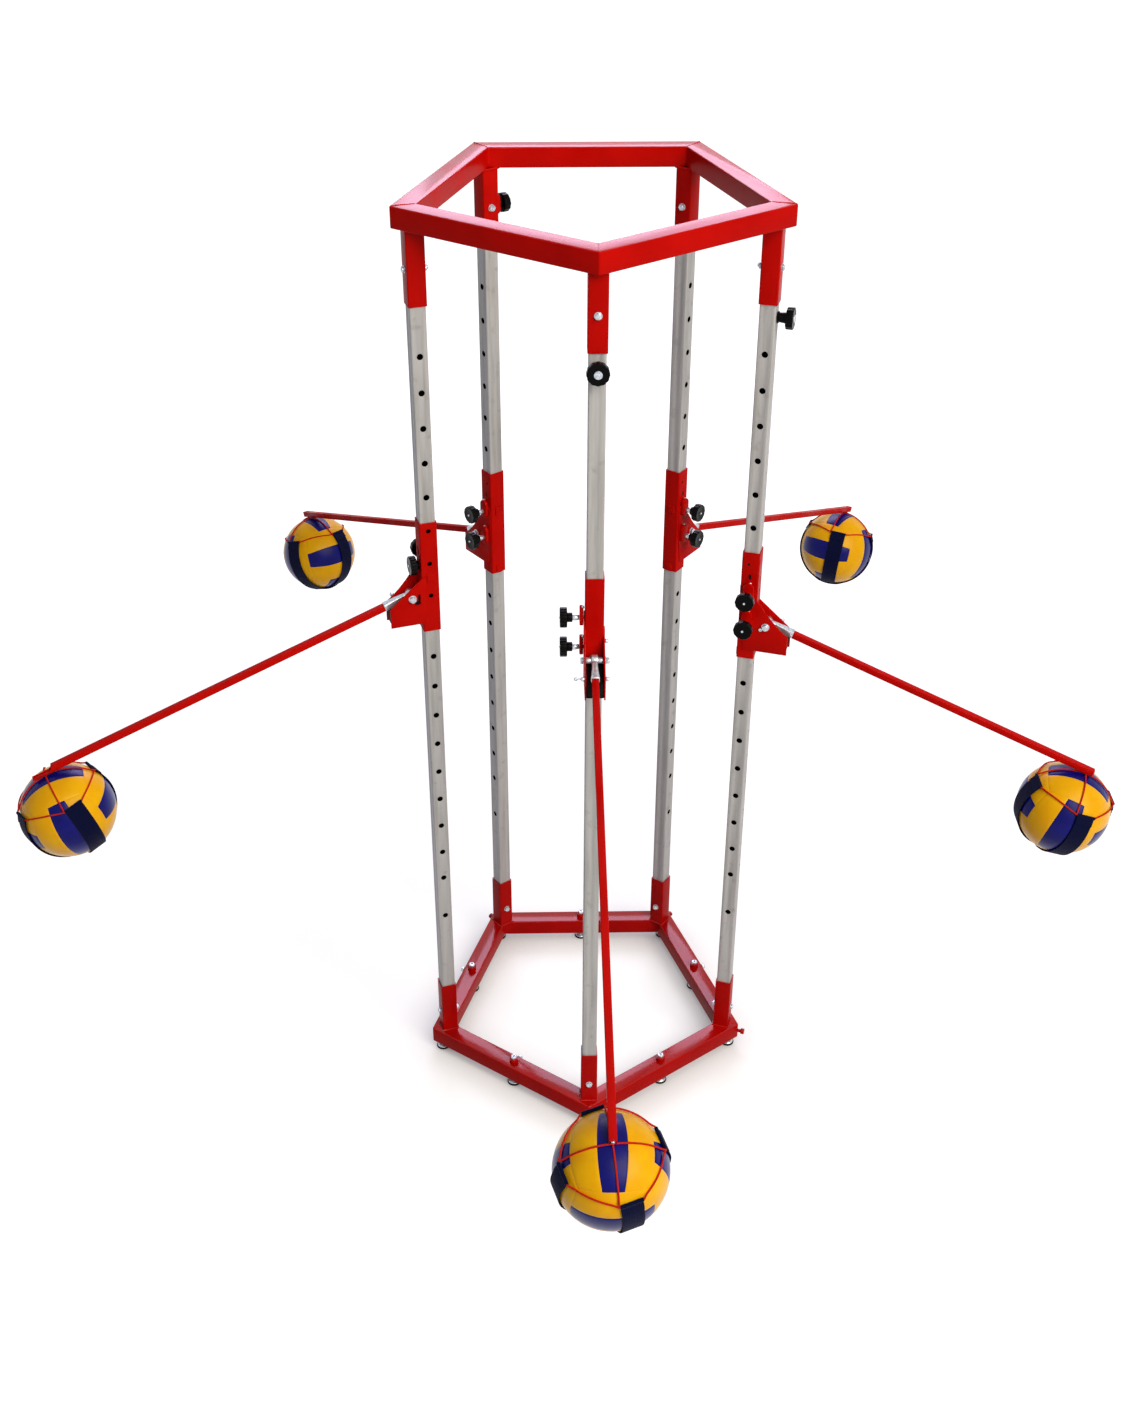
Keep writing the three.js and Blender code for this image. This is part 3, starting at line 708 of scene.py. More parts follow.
# Base ring: the same red painted darker, as painted shade on its sides, with a stronger gloss for glare on its
# top faces.
BASE_RED_SHADED = powder_coat("red_powder_coat_shaded_base", "#BC0A06", "#B00604", 0.5, 0.4)
STEEL = brushed_stainless()
SHADE_BLACK = shade_black_finish()
ZINC = zinc_plate()
NYLON = moulded_nylon()
RUBBER = black_rubber()
YELLOW = ball_leather("yellow_panel_leather", "#FFC203", "#F8B402")
BLUE = ball_leather("blue_panel_leather", "#0A0C7C", "#070868")
WEBBING = woven_webbing()
BRAID = braided_cord()


def painted(piece, material):
    piece.data.materials.clear()
    piece.data.materials.append(material)
    return piece


# Frame
def pentagon_ring(name, bottom, top):
    """Ring of square tube, mitred at its corners."""
    fresh()
    bpy.ops.mesh.primitive_cylinder_add(
        vertices=len(STATIONS), radius=RING_RADIUS * MM, depth=(top - bottom) * MM,
        location=CENTRE + Vector((0, 0, (top + bottom) / 2 * MM)), rotation=(0, 0, math.pi))
    ring = hollow(named(name), "z", RING_TUBE)
    return rounded(ring, RING_EDGE, segments=4, angle=50)


def weld_bead(name, points, radius=WELD):
    """Weld bead along straight stretches, with a slight ripple."""
    steps = 6
    path = []
    for start, end in zip(points, points[1:]):
        start, end = Vector(start), Vector(end)
        count = max(2, int((end - start).length / steps))
        path += [start.lerp(end, i / count) for i in range(count)]
    path.append(Vector(points[-1]))
    ups = [Vector((0.3, 0.2, 1)) for _ in path]
    bead = swept(name, path, ups, ring_section(2 * radius, 8))
    for vertex in bead.data.vertices:
        ripple = math.sin(vertex.co.x * 900) * math.sin(vertex.co.y * 900 + vertex.co.z * 700)
        vertex.co += vertex.normal * WELD_RIPPLE * MM * ripple
    return bead


def square_weld(name, half, height):
    corner = half + WELD / 4
    points = [(corner, -corner, height), (corner, corner, height), (-corner, corner, height),
              (-corner, -corner, height), (corner, -corner, height)]
    return weld_bead(name, points)


def mitre_weld(name, inner, outer, height):
    return weld_bead(name, [(inner, 0, height), (outer, 0, height)], WELD / 2)


def socket_bolt(name):
    """Head outside with its hexagon socket and washer, and nut with its washer and thread end inside."""
    half = COLLAR_WIDTH / 2
    head = rod("head", "x", BOLT_HEAD, half + WASHER_HEIGHT, half + WASHER_HEIGHT + BOLT_HEAD_HEIGHT, sides=32)
    rounded(head, 1.4, segments=4)
    recess = rod("recess", "x", BOLT_SOCKET, half + WASHER_HEIGHT + BOLT_HEAD_HEIGHT / 2,
                 half + WASHER_HEIGHT + BOLT_HEAD_HEIGHT + 1, sides=6)
    cut(head, [recess])
    washer = turned("washer", "x", [(WASHER, half), (WASHER, half + WASHER_HEIGHT)], soften=0.3)
    nut = rod("nut", "x", BOLT_NUT, -half - BOLT_NUT_HEIGHT, -half - WASHER_HEIGHT, sides=6)
    rounded(nut, 0.8, segments=2)
    inner_washer = turned("inner_washer", "x", [(WASHER, -half - WASHER_HEIGHT), (WASHER, -half)], soften=0.3)
    shank = turned("shank", "x", [(PIN, -half - BOLT_NUT_HEIGHT - 3), (PIN, half)], soften=0.6)
    return smooth(painted(joined(name, [head, washer, nut, inner_washer, shank]), ZINC))


def build_top_ring():
    parts = [pentagon_ring("ring_bar", TOP_BOTTOM, TOP)]
    bolt = socket_bolt("bolt_master")
    tube = square_tube("collar", COLLAR_WIDTH, COLLAR_WALL, COLLAR_EDGE, COLLAR_BOTTOM, TOP_BOTTOM)
    weld = square_weld("collar_weld", COLLAR_WIDTH / 2, TOP_BOTTOM)
    inner = RING_RADIUS - RING_TUBE / math.cos(math.pi / 5) - POST_OUT
    outer = RING_RADIUS - POST_OUT
    seam = mitre_weld("mitre_weld", inner + 3, outer - 3, TOP)
    for k, name in enumerate(STATIONS):
        place = station_matrix(k)
        for master in (tube, weld, seam):
            twin = copied(master, master.name + name)
            twin.data.transform(place)
            parts.append(twin)
        seated(bolt, f"collar_bolt_{name}", station_matrix(k, height=COLLAR_BOTTOM + COLLAR_BOLT_RISE),
               "frame")
    discard(tube, weld, seam)
    guide = guide_plate("collar_guide", COLLAR_BOTTOM + COLLAR_BOLT_RISE)
    guide.data.transform(station_matrix(STATIONS.index("back_left")))
    parts.append(guide)
    riding(smooth(painted(joined("top_ring_finish", parts), RED)), "frame", ["top_ring"])
    return bolt


def build_base_ring(bolt):
    parts = [pentagon_ring("base_bar", BASE_BOTTOM, BASE_TOP)]
    tube = square_tube("socket", COLLAR_WIDTH, COLLAR_WALL, COLLAR_EDGE, BASE_TOP, BASE_TOP + SOCKET_LENGTH)
    weld = square_weld("socket_weld", COLLAR_WIDTH / 2, BASE_TOP)
    outer = RING_RADIUS - POST_OUT
    seam = mitre_weld("base_mitre_weld", COLLAR_WIDTH / 2, outer - 3, BASE_TOP)
    boss = turned("boss", "z", [(BOSS, BASE_TOP - 1), (BOSS, BASE_TOP + BOSS_HEIGHT)], soften=1.2)
    middle = BASE_BOTTOM + RING_TUBE / 2
    lug = turned("lug", "x", [(9, outer - 2), (9, outer + 7), (15, outer + 7), (15, outer + 16)], soften=0.8)
    moved(lug, (0, 0, middle))
    for k, name in enumerate(STATIONS):
        masters = [tube, weld, seam] + ([lug] if name in LUG_STATIONS else [])
        for master in masters:
            twin = copied(master, master.name + name)
            twin.data.transform(station_matrix(k))
            parts.append(twin)
        twin = copied(boss, "boss" + name)
        twin.data.transform(station_matrix(k, out=BEAM_OUT, extra=STEP / 2))
        parts.append(twin)
        seated(bolt, f"socket_bolt_{name}", station_matrix(k, height=BASE_TOP + SOCKET_BOLT_RISE),
               "frame")
    for name, way in SIDE_NUTS.items():
        ends = side_ends(way, RING_TUBE / 2, RING_TUBE / 2 + SIDE_NUT_HEIGHT)
        nut = rod("side_nut", "x", SIDE_NUT, *ends, (0, 0, BASE_TOP - SIDE_NUT_DROP), 6)
        rounded(nut, 2.0, segments=3)
        place = station_matrix(BEAMS.index(name), out=BEAM_OUT, extra=STEP / 2)
        seated(smooth(painted(nut, ZINC)), f"side_nut_{name}", place, "frame")
        discard(nut)
    discard(tube, weld, seam, boss, lug)
    riding(smooth(painted(joined("base_ring_finish", parts), BASE_RED_SHADED)), "frame", ["base_ring"])


def build_posts():
    """Stainless posts with their rows of drilled holes."""
    master = square_tube("post", POST_WIDTH, POST_WALL, POST_EDGE, BASE_TOP + 0.5, TOP_BOTTOM - 0.5)
    reach = POST_WIDTH
    heights = [TOP_HOLE - row * HOLE_PITCH for row in range(HOLE_ROWS)]
    heights.append(heights[-1] - LAST_HOLE_PITCHES * HOLE_PITCH)
    drills = [rod("drill", "y", POST_HOLE, -reach, reach, (0, 0, height), 24) for height in heights]
    drills += [rod("drill", "x", PIN + 1, -reach, reach, (0, 0, height), 16)
               for height in (COLLAR_BOTTOM + COLLAR_BOLT_RISE, BASE_TOP + SOCKET_BOLT_RISE)]
    cut(master, [joined("drills", drills)])
    rounded(master, HOLE_RIM, segments=2, angle=40)
    for k, name in enumerate(STATIONS):
        post = copied(master, "drilled_post")
        marks = SMALL_HOLES.get(name, [])
        if marks:
            bits = [rod("bit", "x", width, 0, reach, (0, shift, height), 12) for width, shift, height in marks]
            cut(post, [joined("bits", bits)])
        smooth(painted(post, STEEL))
        # Faces inside the tube, among them the walls of the holes, take the near-black painted shade.
        post.data.materials.append(SHADE_BLACK)
        for side in post.data.polygons:
            if max(abs(side.center.x), abs(side.center.y)) < (POST_WIDTH / 2 - HOLE_RIM) * MM:
                side.material_index = 1
        seated(post, f"post_{name}_finish", station_matrix(k), "frame", [f"post_{name}"])
        discard(post)
    discard(master)


# Sleeves
def guide_plate(name, height):
    """Oval plate on a slightly smaller foot, on the knob side."""
    face = -COLLAR_WIDTH / 2
    foot = plate(name + "_foot", oval(GUIDE_LENGTH - 3, GUIDE_WIDTH - 3, height), face - GUIDE_STAND,
                 face + 1, 0.4)
    top = plate(name + "_top", oval(GUIDE_LENGTH, GUIDE_WIDTH, height), face - GUIDE_STAND - GUIDE_PLATE,
                face - GUIDE_STAND, 1.4)
    return joined(name, [foot, top])


def cheek_outlines():
    """Outlines of the plain cheek, and of the one on the knob side, which sweeps up round the spring pin."""
    half = COLLAR_WIDTH / 2
    nose = [(CHEEK_REACH, -CHEEK_NOSE_DROP), (CHEEK_REACH, -CHEEK_BOTTOM_DROP)]
    plain = [(half - 7, 2 - CHEEK_TOP_DROP), (half, -CHEEK_TOP_DROP), *nose, (half - 7, -CHEEK_BOTTOM_DROP)]
    crown = arc((0, -TAB_TOP_DROP - 17), 17, 165, 10, 12)
    sweep = arc((half + 24, -TAB_TOP_DROP - 20), 26, 190, 235, 6)
    tall = [*crown, *sweep, *HOLLOW, *nose, (14 - half, -CHEEK_BOTTOM_DROP), (4 - half, -TAB_TOP_DROP - 60)]
    return plain, tall


def build_sleeve(slotted):
    half = COLLAR_WIDTH / 2
    tube = square_tube("sleeve", COLLAR_WIDTH, COLLAR_WALL, COLLAR_EDGE, -SLEEVE_LENGTH, 0)
    plain, tall = cheek_outlines()
    parts = [tube, plate("cheek", plain, half - 1, CHEEK_FACE),
             plate("tall_cheek", tall, -CHEEK_FACE, 1 - half)]
    pads = [((-PAD_WIDTH / 2, half - 1), (PAD_WIDTH / 2, half + PAD_THICKNESS), -(PIN_DROP + CLAMP_DROP) / 2),
            ((-half - PAD_THICKNESS, -PAD_WIDTH / 2), (-half + 1, PAD_WIDTH / 2), -PIN_DROP),
            ((-half - PAD_THICKNESS, -PAD_WIDTH / 2), (-half + 1, PAD_WIDTH / 2),
             PAD_LENGTH / 2 - SLEEVE_LENGTH)]
    for low, high, height in pads:
        pad = block("pad", (*low, height - PAD_LENGTH / 2), (*high, height + PAD_LENGTH / 2))
        parts.append(rounded(pad, 0.8))
    parts += [guide_plate("pin_guide", GUIDE_RISE - PIN_DROP),
              guide_plate("clamp_guide", GUIDE_RISE - CLAMP_DROP)]
    far = 2 * COLLAR_WIDTH
    drills = [rod("hole", "y", HOLE_DIAMETER, 0, far, (0, 0, -PIN_DROP + row * HOLE_PITCH), 20)
              for row in (-1, 0, 1)]
    drills += [rod("hole", "y", PIN + 1, -far, 0, (0, 0, -drop), 20) for drop in (PIN_DROP, CLAMP_DROP)]
    drills += [rod("dot", "y", SLOT_HOLE, -far, 0, (-4, 0, -DOT_DROP), 16),
               rod("hole", "y", PIVOT_BOLT + 1, -far, far, (PIVOT_OUT, 0, -PIVOT_DROP), 20),
               plate("notch", NOTCH, 0, far, 0)]
    arch_middle = -(ARCH_TOP_DROP + ARCH_FOOT_DROP) / 2
    front = [plate("arch", oval(ARCH_FOOT_DROP - ARCH_TOP_DROP, ARCH_WIDTH, arch_middle), 0, far, 0)]
    if slotted:
        front.append(plate("slot", oval(SLOT_LENGTH, SLOT_WIDTH, -SLOT_DROP), 0, far, 0))
        drills.append(plate("side_slot", oval(SLOT_LENGTH - 5, SLOT_WIDTH - 3, 14 - SLOT_DROP), -far, 0, 0))
        drills.append(rod("slot_hole", "x", SLOT_HOLE, 0, far, (0, 0, -SLOT_HOLE_DROP), 16))
    for opening in front:
        opening.data.transform(Matrix.Rotation(-math.pi / 2, 4, "Z"))
    for part in parts:
        for drill in drills + front:
            cut(part, [copied(drill, "drill_copy")])
    discard(*drills, *front)
    sleeve = smooth(painted(joined("sleeve_master", parts), SATIN))
    # A near-black disc 1 mm inside the dot hole, and on a slotted sleeve near-black strips behind both slots as
    # painted shade.
    dark = [rod("dark_dot_disc", "y", SLOT_HOLE, 1 - half, 1.4 - half, (-4, 0, -DOT_DROP), 12)]
    if slotted:
        dark.append(block("side_shade", (-5, 1.2 - half, -SLOT_DROP + 4), (5, 1.5 - half, -SLOT_DROP + 24)))
        dark.append(block("shade", (half - 1.5, -6, -SLOT_HOLE_DROP - 5), (half - 1.2, 6, -SLOT_DROP + 11)))
    return joined("sleeve_master", [sleeve, *(painted(part, SHADE_BLACK) for part in dark)])


def dome_head(name, diameter, proud, place, way):
    """Button head on a sleeve's side with its hexagon socket: -1 is the knob side and 1 the other."""
    ends = side_ends(way, CHEEK_FACE - 1, CHEEK_FACE + proud)
    head = rod(name, "y", diameter, *ends, (place[0], 0, place[1]), 24)
    rounded(head, min(proud, diameter) * 0.4, segments=4)
    ends = side_ends(way, CHEEK_FACE + proud / 2, CHEEK_FACE + proud + 1)
    return cut(head, [rod("recess", "y", diameter / 2.4, *ends, (place[0], 0, place[1]), 6)])


def build_sleeve_screws(name):
    """Zinc screws over each guide plate, the nut across from the clamp, and the screw beside the pivot."""
    rise = GUIDE_RISE + GUIDE_LENGTH / 2 - 2
    heads = [dome_head("guide_head", 6, 5, (3, rise - drop), -1) for drop in (PIN_DROP, CLAMP_DROP)]
    place = (PIVOT_OUT + CHEEK_SCREW[0], CHEEK_SCREW[1] - PIVOT_DROP)
    heads.append(dome_head("cheek_screw", 9, 3.5, place, -1))
    for out, up, way in CHEEK_NUTS.get(name, []):
        ends = side_ends(way, CHEEK_FACE - 1, CHEEK_FACE + CHEEK_NUT_HEIGHT)
        nut = rod("cheek_nut", "y", CHEEK_NUT, *ends, (PIVOT_OUT + out, 0, up - PIVOT_DROP), 24)
        heads.append(rounded(nut, 3.2, segments=5))
    if name == PLAIN_STATION:
        out, up, _ = CHEEK_NUTS[name][0]
        bead_at = -CHEEK_FACE - BEAD_STAND
        stalk = turned("stalk", "y", [(BEAD_STALK, bead_at), (BEAD_STALK, -CHEEK_FACE)], sides=16)
        fresh()
        bpy.ops.mesh.primitive_uv_sphere_add(segments=24, ring_count=16, radius=BEAD / 2 * MM,
                                             location=(0, bead_at * MM, 0))
        heads += [moved(part, (PIVOT_OUT + out, 0, up - PIVOT_DROP)) for part in (stalk, named("bead"))]
    return smooth(painted(joined("sleeve_screws", heads), ZINC))


# Knobs
def build_knob(name, tip, face, bush, top=False, hub_length=HUB_LENGTH):
    """Lobed knob with its hub, zinc bush and pin, on the -Y side, from the pin's tip and the face it stands on.

    A top knob is wider and domed, with a black flange in place of the bush and a broad metal cap.
    """
    hub = face + bush
    back = hub + hub_length
    front = back + KNOB_THICKNESS
    width = TOP_KNOB if top else KNOB
    disc = rod("disc", "y", width, -front, -back, sides=96)
    for vertex in disc.data.vertices:
        angle = math.atan2(vertex.co.z, vertex.co.x)
        dip = (1 - math.cos(KNOB_LOBES * angle)) / 2
        reach = 1 - 2 * KNOB_LOBE_DEPTH / KNOB * dip ** 2
        vertex.co.x *= reach
        vertex.co.z *= reach
    pick_faces(disc, lambda side: side.normal.y < -0.9)
    bpy.ops.mesh.inset(thickness=9 * MM)
    bpy.ops.transform.translate(value=(0, 1.8 * MM, 0))
    leave_edit()
    rounded(disc, 2.2, segments=4)
    core = [(HUB + 4, -back - 3), (HUB, -face - 5), (HUB + 5, -face - 4), (HUB + 5, -face - 1)] if top else [
        (HUB, -back - 3), (HUB, -hub)]
    core = turned("hub", "y", core, soften=0.8)
    black = smooth(painted(joined(name + "_grip", [disc, core]), NYLON))
    wide = CAP if top else INSERT
    cap = turned("cap", "y", [(wide, -front - CAP_HEIGHT), (wide, -front + 3)], soften=0.4)
    if top:
        cut(cap, [turned("ring", "y", [(CAP / 2, -front - 2), (CAP / 2, -front - CAP_HEIGHT + 0.4)])])
    stem = turned("stem", "y", [(BUSH, -hub), (BUSH, -face - bush / 2), (BUSH_NOSE, -face - 0.4)], soften=0.5)
    pin = turned("pin", "y", [(PIN, -face - bush / 2), (PIN, -tip)], soften=0.8)
    metal = smooth(painted(joined(name + "_metal", [cap, stem, pin]), ZINC))
    return black, metal


# Arm head
def build_pivot_bolt():
    """Hexagon head and nut outside the cheeks, and a spacer on each side of the arm's eye."""
    inner = COLLAR_WIDTH / 2 - 1
    parts = []
    for way in (-1, 1):
        ends = side_ends(way, CHEEK_FACE + TOUCH_GAP, CHEEK_FACE + WASHER_HEIGHT)
        washer = turned("pivot_washer", "y", [(PIVOT_HEAD + 2, ends[0]), (PIVOT_HEAD + 2, ends[1])], soften=0.3)
        ends = side_ends(way, CHEEK_FACE + WASHER_HEIGHT, CHEEK_FACE + PIVOT_HEAD_LENGTH)
        head = rod("pivot_head", "y", PIVOT_HEAD, *ends, sides=6)
        rounded(head, 0.9, segments=3)
        ends = side_ends(way, EYE_WIDTH / 2 + TOUCH_GAP, inner - TOUCH_GAP)
        spacer = turned("spacer", "y", [(SPACER, ends[0]), (SPACER, ends[1])], soften=0.6)
        parts += [washer, head, spacer]
    end = CHEEK_FACE + PIVOT_HEAD_LENGTH + 2
    parts.append(turned("pivot_shank", "y", [(PIVOT_BOLT, -end + 3), (PIVOT_BOLT, end)], soften=0.6))
    return smooth(painted(joined("pivot_bolt_master", parts), ZINC))


def build_buffer():
    """Rubber block between the cheeks, its top face under the arm."""
    back = COLLAR_WIDTH / 2 + TOUCH_GAP
    nose = CHEEK_REACH - 3
    droop = math.radians(ARM_DROOP)
    under = -PIVOT_DROP - (EYE / 2 + TOUCH_GAP) / math.cos(droop)
    heights = [under - (x - PIVOT_OUT) * math.tan(droop) for x in (back, nose)]
    foot = 3 - CHEEK_BOTTOM_DROP
    half = COLLAR_WIDTH / 2 - 1.3
    outline = [(back, heights[0]), (nose, heights[1]), (nose, foot), (back, foot)]
    return smooth(painted(plate("buffer_master", outline, -half, half, 1.5), RUBBER))


def build_rod_end(name, reach):
    """Zinc rod end: an eye on the pivot, and a pressed neck that widens to its mouth round the red tube."""
    eye = turned("eye", "y", [(EYE_FINISH, -EYE_WIDTH / 2), (EYE_FINISH, EYE_WIDTH / 2)], sides=40, soften=1.2)
    cut(eye, [rod("bore", "y", PIVOT_BOLT + 0.6, -EYE_WIDTH, EYE_WIDTH, sides=24)])
    mouth = NECK_LENGTH + reach
    neck = block("neck", (EYE / 4, -NECK / 2, -NECK_HEIGHT / 2), (mouth, NECK / 2, NECK_HEIGHT / 2 + NECK_TOP))
    pick(neck)
    bpy.ops.object.mode_set(mode="EDIT")
    for i in range(10):
        bpy.ops.mesh.select_all(action="SELECT")
        row = mouth - 3 if i == 9 else NECK_STRAIGHT + (mouth - NECK_STRAIGHT) * i / 9
        bpy.ops.mesh.bisect(plane_co=(row * MM, 0, 0), plane_no=(1, 0, 0))
    leave_edit()
    for vertex in neck.data.vertices:
        along = min(max((vertex.co.x / MM - NECK_STRAIGHT) / (mouth - NECK_STRAIGHT), 0), 1)
        vertex.co.y *= 1 + (SOCKET_WIDTH / NECK - 1) * along ** 1.5
        if vertex.co.x / MM > mouth - 2:
            vertex.co.y *= 1.06
            vertex.co.z *= 1.08
    rounded(neck, 3.6, segments=4, angle=40)
    return smooth(painted(joined(name, [eye, neck]), ZINC))


def build_arm_tube(length, past, tongued):
    """Red square tube of the arm, open at its end round the tip bolt. A tongued one has its end cut down."""
    end = length + past
    half = ARM_TUBE / 2
    tube = block("arm_tube", (NECK_LENGTH + PINNED_REACH - 6, -half, -half), (end, half, half))
    rounded(tube, 1.5, segments=3)
    pick_faces(tube, lambda side: side.normal.x > 0.99)
    bpy.ops.mesh.inset(thickness=0.3 * MM)
    bpy.ops.mesh.extrude_region_move(TRANSFORM_OT_translate={"value": (-ARM_BORE * MM, 0, 0)})
    leave_edit()
    if tongued:
        start = length - TONGUE_START
        outline = [(start, half + 1), (start + 4, TONGUE - half + 3), (start + 10, TONGUE - half),
                   (end + 1, TONGUE - half), (end + 1, half + 1)]
        cut(tube, [plate("end_cut", outline, -ARM_TUBE, ARM_TUBE, 0)])
    return smooth(painted(tube, SATIN))


def build_tip_bolt(length, past):
    end = length + past
    bolt = turned("tip_bolt", "x", [(7, end - 25), (7, end + 2)], soften=0.6)
    nut = rod("tip_nut", "x", 11, end - 8, end - 2, sides=6)
    return smooth(painted(joined("tip_bolt_master", [bolt, nut]), ZINC))


# Ball
def spread(count):
    """Places across one face of the cube that the ball starts from, close together at the panel seams."""
    seam = SEAM_WIDTH / (BALL * math.pi / 4)
    places = []
    for third in range(3):
        low, high = third / 3 + seam / 2, (third + 1) / 3 - seam / 2
        places += [third / 3, low]
        places += [low + (high - low) * i / count for i in range(1, count)]
        places.append(high)
    return places + [1.0]


def build_ball():
    """Volleyball of 18 panels: three strips on each face of a cube blown up to a ball, with pressed-in seams."""
    strips = spread(7)
    points, faces, blues = [], [], []
    radius = BALL / 2

    def on_ball(axis, run, cross, way, u, v):
        point = [0, 0, 0]
        point[axis] = way
        point[run] = math.tan((u - 0.5) * math.pi / 2)
        point[cross] = math.tan((v - 0.5) * math.pi / 2)
        return Vector(point).normalized()

    sides = [(axis, (axis + 1) % 3, (axis + 2) % 3, way) for axis in range(3) for way in (1, -1)]
    for axis, run, cross, way in sides:
        base = len(points)
        for u in strips:
            for v in strips:
                seam = min(abs(v - edge / 3) for edge in range(4))
                end = min(u, 1 - u)
                near = min(seam, end) * BALL * math.pi / 4
                dip = max(0.0, 1 - near / (SEAM_WIDTH / 2))
                points.append(on_ball(axis, run, cross, way, u, v) * (radius - SEAM_DEPTH * dip) * MM)
        side = len(strips)
        for i in range(side - 1):
            for j in range(side - 1):
                a = base + i * side + j
                faces.append((a, a + 1, a + side + 1, a + side))
                middle = (strips[j] + strips[j + 1]) / 2
                blues.append(1 if 1 / 3 < middle < 2 / 3 else 0)
    ball = new_piece("ball_master", points, [], faces)
    ball.data.materials.append(YELLOW)
    ball.data.materials.append(BLUE)
    for face, blue in zip(ball.data.polygons, blues):
        face.material_index = blue
    edit_all(ball)
    face_outwards(0.01 * MM)
    return smooth(with_modifier(ball, "SUBSURF", levels=1, render_levels=1), 60)


# Harness
def over_ball(azimuth, latitude, radius):
    flat = radius * math.cos(latitude)
    return Vector((flat * math.cos(azimuth), flat * math.sin(azimuth), radius * math.sin(latitude)))


def strap_section(width, thickness):
    """Flat webbing with softly rounded edges, lying on the ball with its inner face."""
    w, edge = width / 2, thickness / 2
    inner = [(-w + edge, 0)] + [(-w + edge + (2 * w - 2 * edge) * i / 6, 0) for i in range(1, 7)]
    right = [(w, edge)]
    outer = [(w - edge - (2 * w - 2 * edge) * i / 6, thickness) for i in range(7)]
    return inner + right + outer + [(-w, edge)]


def hem_place(leg):
    """Middle of a hem's roll, the way across it, and its azimuth."""
    azimuth = math.radians(HARNESS_TURN) + leg * math.pi / 2
    middle = over_ball(azimuth, math.radians(HEM_LATITUDE), BALL / 2 + SKIN_GAP + HEM_ROLL / 2 - 0.5)
    return middle, Vector((-math.sin(azimuth), math.cos(azimuth), 0)), azimuth


def build_straps():
    """Two navy straps crossed under the ball, their four ends turned back and sewn round the elastic."""
    hem = math.radians(HEM_LATITUDE)
    steps = 48
    parts = []
    for crossing in (0, 1):
        azimuth = math.radians(HARNESS_TURN) + crossing * math.pi / 2
        path = []
        for i in range(steps + 1):
            latitude = hem - i * (math.pi + 2 * hem) / steps
            over = max(0.0, min(1.0, (0.4 - abs(latitude + math.pi / 2)) / 0.12)) * crossing
            path.append(over_ball(azimuth, latitude, BALL / 2 + SKIN_GAP + over * STRAP_THICKNESS))
        parts.append(swept("strap", path, path, strap_section(STRAP_WIDTH, STRAP_THICKNESS)))
    for leg in range(4):
        middle, across, azimuth = hem_place(leg)
        fold = HEM_LENGTH / (BALL / 2)
        flap = []
        for i in range(11):
            rise = SKIN_GAP + STRAP_THICKNESS + (HEM_ROLL / 2 - STRAP_THICKNESS) * max(0.0, 1 - i / 3)
            flap.append(over_ball(azimuth, hem - fold * i / 10, BALL / 2 + rise))
        parts.append(swept("flap", flap, flap, strap_section(STRAP_WIDTH, STRAP_THICKNESS)))
        roll = [middle + across * (STRAP_WIDTH / 2 + 0.6) * (i / 4 - 1) for i in range(9)]
        parts.append(swept("roll", roll, [middle] * 9, ring_section(HEM_ROLL, 16)))
    return painted(joined("harness_master", parts), WEBBING)


def taut_over_ball(start, end):
    """Points of a cord pulled tight over the ball between two points that stand a little off it."""
    turn = start.angle(end)
    lift = BALL / 2 + CORD / 2 + TOUCH_GAP
    points, steps = [], 22
    for i in range(steps + 1):
        t = i / steps
        way = (start.normalized() * math.sin((1 - t) * turn)
               + end.normalized() * math.sin(t * turn)) / math.sin(turn)
        stand = ((start.length - lift) * max(0, 1 - t / 0.15) ** 2
                 + (end.length - lift) * max(0, (t - 0.85) / 0.15) ** 2)
        points.append(way * (lift + stand))
    return points


def build_cords():
    """Red elastic: a ring through the four hems, and a cord from each hem's end over the top to the tube."""
    parts = []
    half = STRAP_WIDTH / 2 + 2
    top = Vector((0, 0, BALL / 2 + CORD / 2 + TOUCH_GAP))
    for leg in range(4):
        middle, across, _ = hem_place(leg)
        after, after_across, _ = hem_place(leg + 1)
        near, far = middle + across * half, after - after_across * half
        path = taut_over_ball(near, far)
        parts.append(swept("cord_ring", path, path, ring_section(CORD)))
        through = [middle + across * half * (i / 3 - 1) for i in range(7)]
        parts.append(swept("cord_in_hem", through, [middle] * 7, ring_section(CORD)))
        path = taut_over_ball(middle - across * half, top)
        parts.append(swept("cord_rise", path, [across] * len(path), ring_section(CORD)))
    return painted(joined("cord_master", parts), BRAID)


